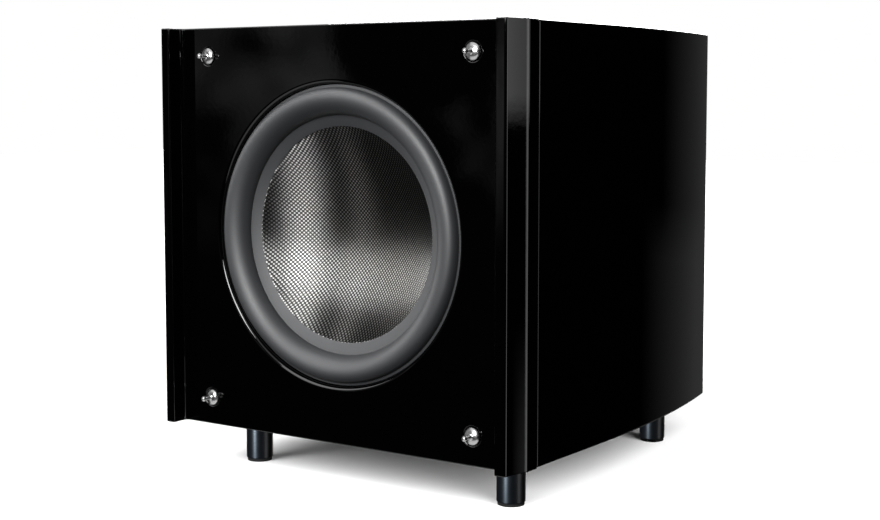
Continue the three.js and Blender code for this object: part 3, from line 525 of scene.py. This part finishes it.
def cabinet_section(y, inset):
    """A rounded rectangle round the cabinet at depth y, inset from its outer surface."""
    radius = max(WALL_CORNER - inset, 0.3 * MM)
    wide = half_width_at(y) - inset - radius
    low, high = LOW + inset + radius, HIGH - inset - radius
    corners = [(wide, low, -90), (wide, high, 0), (-wide, high, 90), (-wide, low, 180)]
    points = []
    for x, z, start in corners:
        points += [(px, y, pz) for px, pz in arc(x, z, radius, start, start + 90, 6)]
    return points


def build_cabinet():
    """The walls as one closed tube: out along the outside and back along the inside."""
    edge = 1.5 * MM
    edge_steps, straight_steps, curve_steps, inner_steps = 5, 4, 36, 10
    turns = [math.radians(90 * i / edge_steps) for i in range(edge_steps + 1)]
    front = [(FRONT + edge * (1 - math.cos(a)), edge * (1 - math.sin(a))) for a in turns]
    back = [(BACK - edge * (1 - math.cos(a)), edge * (1 - math.sin(a))) for a in reversed(turns)]
    start, length = FRONT + edge, SIDE_CURVE_START - FRONT - edge
    straight = [start + length * i / straight_steps for i in range(1, straight_steps)]
    start, length = SIDE_CURVE_START, BACK - edge - SIDE_CURVE_START
    curved = [start + length * i / curve_steps for i in range(curve_steps)]
    outer = front + [(y, 0.0) for y in straight + curved] + back
    inner = [(BACK + (FRONT - BACK) * i / inner_steps, WALL) for i in range(inner_steps + 1)]
    sections = [cabinet_section(y, inset) for y, inset in outer + inner]
    shell = smooth(lofted("cabinet_lacquer", sections, closed=True))
    even_normals(shell)
    return finish_piece(
        shell, LACQUER, "enclosure", "piano_lacquer",
        "cabinet_left_side", "cabinet_right_side", "cabinet_top", "cabinet_bottom",
    )


def wing_outline(steps):
    """The baffle's plan outline on the right, from its flat face round the wing to the back.

    In millimetres: distance from the middle, and depth behind the flat face.
    """
    ridge = (baffle_low.y - FACE) / MM
    edge = baffle_high.x / MM
    root = (189.5, 0.0)                         # where the wing rises from the flat face
    inner_top = (194.7, -17.6)                  # top of the wing's inner face
    ridge_inner, ridge_outer = (196.4, ridge), (203.4, ridge + 0.3)
    shoulder = (206.4, -16.4)                   # start of the wing's hollow outer face
    hollow_end, side_start = (edge - 0.3, 8.4), (edge, 10.2)
    points = [root]
    points += curve_through(root, (195, 0), (195, -5.5), steps)
    points += [inner_top]
    points += curve_through(inner_top, (194.7, ridge), ridge_inner, steps)
    points += [ridge_outer]
    points += curve_through(ridge_outer, (205.9, ridge + 0.4), shoulder, steps)
    points += curve_through(shoulder, (207.6, -2), hollow_end, steps)
    points += curve_through(hollow_end, (edge, 9.2), side_start, steps)
    points += [(edge, BAFFLE_THICKNESS / MM)]
    return [(x * MM, FACE + y * MM) for x, y in points]


STUDS = [
    "grille_stud_" + place for place in ("lower_left", "lower_right", "upper_left", "upper_right")
]


def stud_centre(name):
    low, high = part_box(name)
    return Vector(((low.x + high.x) / 2, FACE, (low.z + high.z) / 2))


def build_baffle():
    """The lacquered board with its wings, its opening and a recess for each stud."""
    right = wing_outline(10)
    outline = right + [(-x, y) for x, y in reversed(right)]
    sections = [[(x, y, z) for x, y in outline] for z in (LOW, HIGH)]
    board = bevel(lofted("baffle_lacquer", sections), 1.6 * MM, 4, 55)
    apply_modifiers(board)
    # the quarter-round lip, the opening and the ledge behind it
    before, behind = -5 * MM, 50 * MM
    lip_edge = OPENING_RADIUS + LIP_RADIUS
    profile = [(0, before), (lip_edge, before)]
    profile += arc(lip_edge, LIP_RADIUS, LIP_RADIUS, -90, -180, 16)
    profile += [(OPENING_RADIUS, SEAT_DEPTH), (LEDGE_RADIUS, SEAT_DEPTH)]
    profile += [(LEDGE_RADIUS, behind), (0, behind)]
    boolean(board, turned("opening", profile, (0, FACE, AXIS_Z), segments=200), "DIFFERENCE")
    # a countersunk recess with a bore: radius and depth in millimetres
    recess = [(0, -2), (10.3, -2), (10.3, -0.02), (9.8, 0.12), (9.3, 0.5), (8.9, 1.0)]
    recess += [(8.7, 1.3), (4.2, 2.6), (2.7, 2.6), (2.7, 17), (0, 17)]
    profile = [(radius * MM, depth * MM) for radius, depth in recess]
    for name in STUDS:
        boolean(board, turned("recess", profile, stud_centre(name), segments=64), "DIFFERENCE")
    smooth(board, 26)
    even_normals(board)
    return finish_piece(board, LACQUER, "enclosure", "piano_lacquer", "front_baffle")


def build_spigot():
    """The step on the baffle's back that fits inside the cabinet walls."""
    inset = WALL + 0.6 * MM                     # the wall and a fitting gap
    outline = [
        (-HALF_WIDTH + inset, LOW + inset), (HALF_WIDTH - inset, LOW + inset),
        (HALF_WIDTH - inset, HIGH - inset), (-HALF_WIDTH + inset, HIGH - inset),
    ]
    depths = (FACE + BAFFLE_THICKNESS, baffle_high.y)
    step = lofted("baffle_spigot", [[(x, y, z) for x, z in outline] for y in depths])
    behind = 60 * MM
    hole = [(0, 0), (LEDGE_RADIUS, 0), (LEDGE_RADIUS, behind), (0, behind)]
    boolean(step, turned("hole", hole, (0, FACE, AXIS_Z), segments=128), "DIFFERENCE")
    smooth(step)
    return finish_piece(step, SLOT_MATERIALS["raw_board"], "enclosure", "raw_board")


def build_stud(name):
    """A chromed stud, from the front: ball, neck, domed flange and the pin in its bore."""
    profile = [(0, -14.9)] + arc(0, -12.1, 2.8, -89, 42, 16)
    profile += [(1.9, -9.7), (1.8, -8.4), (1.8, -5.6)]
    profile += curve_through((1.8, -5.6), (1.9, -4.2), (3.2, -3.7), 6)
    profile += curve_through((3.2, -3.7), (6.8, -2.9), (8.0, -1.0), 12)
    profile += curve_through((8.0, -1.0), (8.2, -0.5), (8.1, 0.0), 3)
    profile += [(8.1, 0.5), (3.4, 2.1), (2.3, 2.1), (2.3, 16), (0, 16)]
    points = [(radius * MM, depth * MM) for radius, depth in profile]
    stud = turned(name + "_turned", points, stud_centre(name), segments=48)
    return finish_piece(stud, CHROME, "enclosure", "bright_chrome", name)


def rounded_bottom(radius, bottom, edge, steps):
    """The start of a turned profile: a flat underside with a rounded edge."""
    rounding = arc(radius - edge, bottom + edge, edge, -90, 0, steps)[1:]
    return [(0, bottom), (radius - edge, bottom)] + rounding


def build_foot(place):
    """A turned foot with a stem up into the cabinet, and the pad under it."""
    low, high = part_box("foot_" + place)
    x, y = (low.x + high.x) / 2, (low.y + high.y) / 2
    radius = (high.x - low.x) / 2
    top = LOW - 0.3 * MM                        # just clear of the cabinet
    chamfer, stem = 0.4 * MM, 4 * MM
    profile = rounded_bottom(radius, low.z, 1.0 * MM, 5)
    profile += [(radius, top - chamfer), (radius - chamfer, top)]
    profile += [(stem, top), (stem, high.z), (0, high.z)]
    foot = turned("foot_turned_" + place, profile, (x, y, 0), "z", 72)
    finish_piece(foot, SLOT_MATERIALS["foot_metal"], "enclosure", "foot_metal", "foot_" + place)
    low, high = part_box("foot_pad_" + place)
    radius = (high.x - low.x) / 2
    profile = rounded_bottom(radius, low.z, 0.5 * MM, 4) + [(radius, high.z), (0, high.z)]
    pad = turned("foot_pad_moulded_" + place, profile, (x, y, 0), "z", 64)
    finish_piece(pad, BLACK_RUBBER, "enclosure", "black_rubber", "foot_pad_" + place)


# ---------- amplifier ----------

def build_plate_screws():
    """Eight pan-head screws with a cross recess hold the amplifier's plate."""
    low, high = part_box("amp_plate")
    inset = 7.5 * MM
    left, right = low.x + inset, high.x - inset
    bottom, top = low.z + inset, high.z - inset
    middle_x, middle_z = (low.x + high.x) / 2, (low.z + high.z) / 2
    places = [(x, z) for x in (left, right) for z in (bottom, middle_z, top)]
    places += [(middle_x, z) for z in (bottom, top)]
    # the head: radius and depth in millimetres, from its top down into the plate
    head = [(0, -1.9), (1.6, -1.8), (2.7, -1.35), (3.3, -0.6), (3.4, 0.1), (0, 0.1)]
    profile = [(radius * MM, -depth * MM) for radius, depth in head]
    reach, half = 1.9 * MM, 0.38 * MM           # of the cross, which stops above the plate
    cross_low, cross_high = high.y + 0.9 * MM, high.y + 3 * MM
    for number, (x, z) in enumerate(places, 1):
        screw = turned("plate_screw_%d" % number, profile, (x, high.y, z), segments=40)
        for wide, tall in ((reach, half), (half, reach)):
            low_corner = (x - wide, cross_low, z - tall)
            high_corner = (x + wide, cross_high, z + tall)
            boolean(screw, box_mesh("slot", low_corner, high_corner), "DIFFERENCE")
        finish_piece(screw, ZINC, "enclosure", "zinc_steel")


def build_dial_marks():
    """A ring of fine raised marks on the plate round each turning knob, over the knob's range."""
    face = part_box("amp_plate")[1].y
    limit, count = 150, 11                      # degrees each way, and marks
    inner, outer, half_width = 13.5, 16.5, 0.35  # of a mark, in millimetres
    sunk, raised = -0.1 * MM, 0.18 * MM
    for knob in ("level_knob", "crossover_knob"):
        low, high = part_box(knob)
        centre_x, centre_z = (low.x + high.x) / 2, (low.z + high.z) / 2
        vertices, faces = [], []
        for mark in range(count):
            angle = math.radians(-limit + mark * 2 * limit / (count - 1))
            out = Vector((math.sin(angle), 0, math.cos(angle)))
            side = Vector((out.z, 0, -out.x)) * half_width * MM
            a = len(vertices)
            for depth in (sunk, raised):
                centre = Vector((centre_x, face + depth, centre_z))
                for reach, sign in ((inner, -1), (inner, 1), (outer, 1), (outer, -1)):
                    vertices.append(tuple(centre + out * reach * MM + side * sign))
            b = a + 4                           # first corner of the raised end
            faces += [(a, a + 1, a + 2, a + 3), (b, b + 1, b + 2, b + 3)]
            faces += [(a + i, a + (i + 1) % 4, b + (i + 1) % 4, b + i) for i in range(4)]
        marks = outward(make_object(knob.replace("knob", "dial_marks"), vertices, faces))
        finish_piece(marks, MARKING, "enclosure", "amp_metal")


# ---------- driver ----------

def bend_with_cone(piece, outer_radius, inner_radius):
    """The ring's outer edge stays with the frame and its inner edge follows the cone."""
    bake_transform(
        piece, "enclosure", "moving_cone",
        start=(outer_radius, FACE, AXIS_Z), end=(inner_radius, FACE, AXIS_Z),
    )
    weights = piece.data.attributes["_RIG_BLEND"].data
    for vertex, weight in zip(piece.data.vertices, weights):
        radius = math.hypot(vertex.co.x, vertex.co.z - AXIS_Z)
        share = min(1.0, max(0.0, (outer_radius - radius) / (outer_radius - inner_radius)))
        weight.value = share * share * (3 - 2 * share)
    return piece


def build_surround():
    """The moulded ring: a rim glued to the frame, a half roll, and a lip glued to the cone."""
    skin = 1.6 * MM
    lip_front = SEAT_DEPTH + 0.3 * MM
    swell, taper = 1.9 * MM, 1.3 * MM           # the lip thins from the roll to its inner edge
    edge = 0.4 * MM
    front_steps, back_steps = 56, 24
    middle = (ROLL_OUTER + ROLL_INNER) / 2
    half = (ROLL_OUTER - ROLL_INNER) / 2

    def roll(inset, steps, thicker=0.0):
        points = []
        for i in range(steps + 1):
            angle = math.pi * i / steps
            share = (1 - math.cos(angle)) / 2
            foot = RIM_DEPTH + (lip_front - thicker - RIM_DEPTH) * share + inset
            radius = middle + (half - inset) * math.cos(angle)
            points.append((radius, foot - (ROLL_HEIGHT - inset) * math.sin(angle)))
        return points

    profile = [(RIM_RADIUS, RIM_DEPTH + skin)]
    profile += arc(RIM_RADIUS - edge, RIM_DEPTH + edge, edge, 0, -90, 4)
    profile += roll(0, front_steps, swell)
    profile += [(DISH_RADIUS + edge, lip_front + taper)]
    profile += [(DISH_RADIUS, lip_front + taper + 0.2 * MM), (DISH_RADIUS, lip_front + skin)]
    profile += reversed(roll(skin, back_steps))
    surround = turned("surround_moulded", profile, (0, FACE, AXIS_Z), segments=240, closed=True)
    finish_piece(surround, RUBBER, None, "surround_rubber", "surround")
    return bend_with_cone(surround, ROLL_OUTER, ROLL_INNER)


def dish_y(radius):
    """Depth of the dish's face at a radius; flat outside the bowl."""
    if radius >= DISH_RADIUS:
        return DISH_Y
    return DISH_Y + DISH_DEPTH - DISH_CURVATURE + math.sqrt(DISH_CURVATURE ** 2 - radius ** 2)


def build_cone():
    """The woven skin, a fine grid raised where a yarn crosses on top, over a laminate shell."""
    per_yarn = 3                                # grid steps across one yarn
    step = YARN_PITCH / per_yarn
    rim = DISH_RADIUS + 2.5 * MM                # the weave runs this far under the surround
    relief = 0.16 * MM
    count = int(rim / step) + 1
    index, vertices = {}, []
    for i in range(-count, count + 1):
        for k in range(-count, count + 1):
            x, z = i * step, k * step
            radius = math.hypot(x, z)
            if radius > rim:
                continue
            parity = (i // per_yarn + k // per_yarn) % 2
            across, along = (k, i) if parity == 0 else (i, k)
            crown = math.sin(math.pi * (across % per_yarn) / per_yarn)
            crown *= 0.55 + 0.45 * math.sin(math.pi * (along % per_yarn) / per_yarn)
            index[i, k] = len(vertices)
            vertices.append((x, dish_y(radius) - relief * crown, AXIS_Z + z))
    faces = []
    for (i, k), first in index.items():
        corners = [index.get(key) for key in ((i + 1, k), (i + 1, k + 1), (i, k + 1))]
        if None not in corners:
            faces.append((first, *corners))
    skin = make_object("cone_weave", vertices, faces)
    skin.data.shade_smooth()
    finish_piece(skin, WEAVE, "moving_cone", "woven_glass_fibre", "cone")
    steps = 24
    under, thickness = 0.25 * MM, 1.1 * MM      # the shell starts just under the weave
    radii = [rim * i / steps for i in range(steps + 1)]
    face = [(radius, dish_y(radius) + under) for radius in radii]
    lip = ROLL_INNER - 0.3 * MM
    profile = face + [(lip, DISH_Y + under), (lip, DISH_Y + 1.4 * MM)]
    profile += [(radius, y + thickness) for radius, y in reversed(face)]
    shell = turned("cone_laminate", profile, (0, 0, AXIS_Z), segments=120)
    finish_piece(shell, laminate_material(), "moving_cone", "woven_glass_fibre")


def build_spider():
    """The corrugated cloth ring between the frame and the coil former."""
    low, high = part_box("spider")
    inner, outer, lip = 33 * MM, 76 * MM, (high.x - low.x) / 2
    skin, wave, half_waves, steps = 1.1 * MM, 2.0 * MM, 6, 96
    flat = (low.y + high.y) / 2 - skin / 2
    front = []
    for i in range(steps + 1):
        share = i / steps
        bend = wave * math.sin(share * half_waves * math.pi)
        front.append((inner + (outer - inner) * share, flat + bend))
    front.append((lip, flat))
    back = [(radius, y + skin) for radius, y in reversed(front)]
    spider = turned("spider_woven", front + back, (0, 0, AXIS_Z), segments=120, closed=True)
    finish_piece(spider, SLOT_MATERIALS["suspension_cloth"], None, "suspension_cloth", "spider")
    return bend_with_cone(spider, outer, inner)


# ---------- stage, light and camera ----------

def build_floor():
    """A pale floor that shows in no reflection and lights nothing."""
    far = 7
    corners = [(-far, -far, 0), (far, -far, 0), (far, far, 0), (-far, far, 0)]
    floor = make_object("floor", corners, [(0, 1, 2, 3)])
    m = Nodes("pale_floor", (0.86, 0.86, 0.86), 0.95)
    m.color(m.noise(3, 2), (0.85, 0.85, 0.85), (0.87, 0.87, 0.87))
    m.shader.inputs["Specular IOR Level"].default_value = 0
    floor.data.materials.append(m.material)
    floor.visible_glossy = False
    floor.visible_diffuse = False
    floor.visible_shadow = False
    return floor


def area_light(name, location, target, size, power):
    data = bpy.data.lights.new(name, "AREA")
    data.shape = "RECTANGLE"
    data.size, data.size_y = size
    data.energy = power
    light = bpy.data.objects.new(name, data)
    light.location = location
    direction = Vector(target) - Vector(location)
    light.rotation_euler = direction.to_track_quat("-Z", "Y").to_euler()
    bpy.context.scene.collection.objects.link(light)
    return light


def only_lights(light, receivers):
    """The light reaches these objects alone; everything still casts its shadow."""
    group = bpy.data.collections.new(light.name + "_receivers")
    for receiver in receivers:
        group.objects.link(receiver)
    light.light_linking.receiver_collection = group


def meshes_with(*materials):
    meshes = [obj for obj in bpy.data.objects if obj.type == "MESH"]
    return [obj for obj in meshes if any(m in materials for m in obj.data.materials)]


def far_panel(name, elevation, azimuth, half_angle, brightness):
    """A big square panel a long way off, so it lies in the same direction from every piece."""
    distance = 9.0
    level = distance * math.cos(math.radians(elevation))
    height = distance * math.sin(math.radians(elevation))
    turn = math.radians(azimuth)
    place = (level * math.sin(turn), level * math.cos(turn), height)
    side = 2 * distance * math.tan(math.radians(half_angle))
    return area_light(name, place, (0, 0, 0), (side, side), brightness * math.pi * side * side)


def middle_depth(obj):
    """How far back the middle of a piece's box is."""
    depths = [(obj.matrix_world @ Vector(corner)).y for corner in obj.bound_box]
    return (min(depths) + max(depths)) / 2


# soft panels and the plain surroundings that glossy pieces reflect:
# azimuth centre and half width (0 behind the object, positive to its right), azimuth blur,
# lowest and highest elevation, elevation blur (all in degrees), brightness
PANELS = [
    (-2, 15, 16, -30, -5, 2, 0.10),
    (-7, 15, 16, -5, 30, 2, 0.10),
    (63, 27, 3, -0.6, 40, 1.2, 0.90),
    (81, 10, 2, -30, 30, 4, 1.8),
    (-62, 24, 12, 0, 45, 8, 0.35),
    (84, 18, 34, -30, -11, 5, 0.35),
]
# a cloudy patch: azimuth centre, half width, blur, lowest elevation, blur, brightness
HAZE = (-141, 26, 12, -3, 6, 0.40)
CLOUD_SCALE, CLOUD_DETAIL = 13.0, 2.0
CLOUD_START, CLOUD_CONTRAST = 0.46, 4.0
# elevation where each starts, blur, brightness
CEILING = (40, 14, 0.12)
GROUND = (-34, 14, 0.01)
HORIZON = 0.001
FILL_STRENGTH = 0.012


def build_world():
    """White to the camera, a dim fill, and a dark horizon with soft panels in reflections."""
    world = bpy.data.worlds.new("studio")
    bpy.context.scene.world = world
    world.use_nodes = True
    tree = world.node_tree
    tree.nodes.clear()

    def calculate(operation, a, b=0.0, clamp=False):
        return math_node(tree, operation, a, b, clamp)

    place = tree.nodes.new("ShaderNodeTexCoord").outputs["Generated"]
    split = tree.nodes.new("ShaderNodeSeparateXYZ")
    tree.links.new(place, split.inputs[0])
    x, y, z = split.outputs
    azimuth = calculate("ARCTAN2", x, y)
    elevation = calculate("ARCSINE", z)

    def above(value, edge, blur):
        """0 below an angle and 1 above it, with a soft edge; angles in degrees."""
        past = calculate("SUBTRACT", value, math.radians(edge))
        return calculate("ADD", calculate("DIVIDE", past, math.radians(blur)), 0.5, clamp=True)

    def within(value, low, high, blur):
        below = calculate("SUBTRACT", 1, above(value, high, blur))
        return calculate("MULTIPLY", above(value, low, blur), below)

    centre, half, side_blur, low, blur, strength = HAZE
    cloud = tree.nodes.new("ShaderNodeTexNoise")
    cloud.inputs["Scale"].default_value = CLOUD_SCALE
    cloud.inputs["Detail"].default_value = CLOUD_DETAIL
    tree.links.new(place, cloud.inputs["Vector"])
    patch = calculate("SUBTRACT", cloud.outputs["Fac"], CLOUD_START)
    patch = calculate("MULTIPLY", patch, CLOUD_CONTRAST, clamp=True)
    patch = calculate("MULTIPLY", patch, within(azimuth, centre - half, centre + half, side_blur))
    patch = calculate("MULTIPLY", patch, above(elevation, low, blur))
    total = calculate("ADD", calculate("MULTIPLY", patch, strength), HORIZON)
    for centre, half, side_blur, low, high, blur, strength in PANELS:
        across = within(azimuth, centre - half, centre + half, side_blur)
        patch = calculate("MULTIPLY", across, within(elevation, low, high, blur))
        total = calculate("ADD", calculate("MULTIPLY", patch, strength), total)
    edge, blur, strength = CEILING
    total = calculate("ADD", calculate("MULTIPLY", above(elevation, edge, blur), strength), total)
    edge, blur, strength = GROUND
    below = calculate("SUBTRACT", 1, above(elevation, edge, blur))
    total = calculate("ADD", calculate("MULTIPLY", below, strength), total)

    path = tree.nodes.new("ShaderNodeLightPath")
    emissions = []
    for strength in (1.0, FILL_STRENGTH, None):
        node = tree.nodes.new("ShaderNodeBackground")
        node.inputs["Color"].default_value = (1, 1, 1, 1)
        if strength is None:
            tree.links.new(total, node.inputs["Strength"])
        else:
            node.inputs["Strength"].default_value = strength
        emissions.append(node.outputs[0])
    white, fill, panels = emissions

    def choose(factor, when_zero, when_one):
        node = tree.nodes.new("ShaderNodeMixShader")
        tree.links.new(factor, node.inputs[0])
        tree.links.new(when_zero, node.inputs[1])
        tree.links.new(when_one, node.inputs[2])
        return node.outputs[0]

    seen = choose(path.outputs["Is Glossy Ray"], fill, panels)
    seen = choose(path.outputs["Is Camera Ray"], seen, white)
    output = tree.nodes.new("ShaderNodeOutputWorld")
    tree.links.new(seen, output.inputs["Surface"])


def build_camera():
    tilt_down, turn_left = 4.879, 34.979        # degrees
    # from the middle of the bottom edge of the baffle's face
    right, forward, up = 0.9209, 1.1377, 0.3336
    data = bpy.data.cameras.new("camera")
    data.sensor_width = 36
    data.lens = 63.2
    data.shift_x, data.shift_y = -0.0012, -0.0377
    camera = bpy.data.objects.new("camera", data)
    camera.location = (right, FACE - forward, LOW + up)
    camera.rotation_euler = (math.radians(90 - tilt_down), 0, math.radians(turn_left))
    bpy.context.scene.collection.objects.link(camera)
    bpy.context.scene.camera = camera


def floor_light(name, source, strength, floor):
    """A wide soft light on the floor alone, even over its whole width."""
    width = 45                                  # degrees
    sun = bpy.data.lights.new(name, "SUN")
    sun.energy = strength
    sun.angle = math.radians(width)
    light = bpy.data.objects.new(name, sun)
    light.rotation_euler = Vector(source).to_track_quat("Z", "Y").to_euler()
    bpy.context.scene.collection.objects.link(light)
    only_lights(light, [floor])


def build_lights(floor):
    centre = (0, 0, AXIS_Z)
    everything = [obj for obj in bpy.data.objects if obj.type == "MESH"]
    weave = meshes_with(WEAVE)
    feet = meshes_with(SLOT_MATERIALS["foot_metal"])
    chrome = meshes_with(CHROME)
    body = [obj for obj in everything if obj not in weave + feet + [floor]]
    dull = [obj for obj in body if obj not in chrome + meshes_with(LACQUER)]
    shiny = meshes_with(LACQUER) + chrome
    baffle = [bpy.data.objects["baffle_lacquer"]]
    shell = [bpy.data.objects["cabinet_lacquer"]]
    rear = [obj for obj in body if middle_depth(obj) > BACK - 30 * MM]

    # place, size, power and what it lights; all aimed at the middle of the cabinet
    for name, location, size, power, receivers in (
        ("key_softbox", (0.52, -2.62, 1.22), (1.0, 1.35), 84, body + weave),
        ("front_left_softbox", (-1.2, -2.15, 1.2), (1.4, 0.9), 15, dull),
        ("far_left_softbox", (-2.6, -0.75, 0.75), (1.0, 1.4), 24, dull),
        ("top_left_softbox", (-1.1, -1.2, 2.1), (1.2, 1.2), 26, dull),
        ("rear_softbox", (-1.2, 2.5, 1.5), (1.8, 1.2), 120, body),
        ("left_strip", (-1.20, -1.8, 1.5), (0.35, 0.5), 6, weave),
    ):
        only_lights(area_light(name, location, centre, size, power), receivers)
    foot_panel = area_light("foot_panel", (-0.25, -2.2, -0.35), (0, FACE, 0.03), (0.55, 0.5), 50)
    foot_panel.data.color = (0.72, 0.87, 1.0)
    only_lights(foot_panel, feet)

    # elevation, azimuth, half angle, brightness and what it lights; the side, rear and top
    # panels are for the faces away from the camera
    for name, elevation, azimuth, half_angle, brightness, receivers in (
        ("ceiling", 78, 180, 40, 0.7, shiny),
        ("ground", -78, 180, 45, 0.8, shiny),
        ("left_of_chrome", 8, -105, 32, 0.22, chrome),
        ("lip_panel", 40, -136, 20, 2.6, baffle),
        ("left_side_panel", -16, -142, 17, 0.40, shell),
        ("rear_panel", -15, 52, 17, 0.40, rear),
        ("rear_panel_other_side", -15, -38, 15, 0.35, rear),
        ("right_side_panel", -16, 158, 15, 0.30, shell),
        ("top_panel_rear", 24, -30, 14, 0.30, shell),
        ("top_panel_front", 22, 138, 14, 0.30, shell),
    ):
        only_lights(far_panel(name, elevation, azimuth, half_angle, brightness), receivers)
    floor_light("floor_light_right", (0.77, -0.444, 0.459), 7.9, floor)
    floor_light("floor_light_front", (-0.233, -0.824, 0.517), 8.6, floor)


# ---------- everything ----------

dress_cad_nodes()
build_cabinet()
build_baffle()
build_spigot()
for stud in STUDS:
    build_stud(stud)
for place in ("front_left", "front_right", "rear_left", "rear_right"):
    build_foot(place)
build_plate_screws()
build_dial_marks()
build_surround()
build_cone()
build_spider()
build_world()
build_lights(build_floor())
build_camera()

scene = bpy.context.scene
scene.view_settings.view_transform = "Standard"
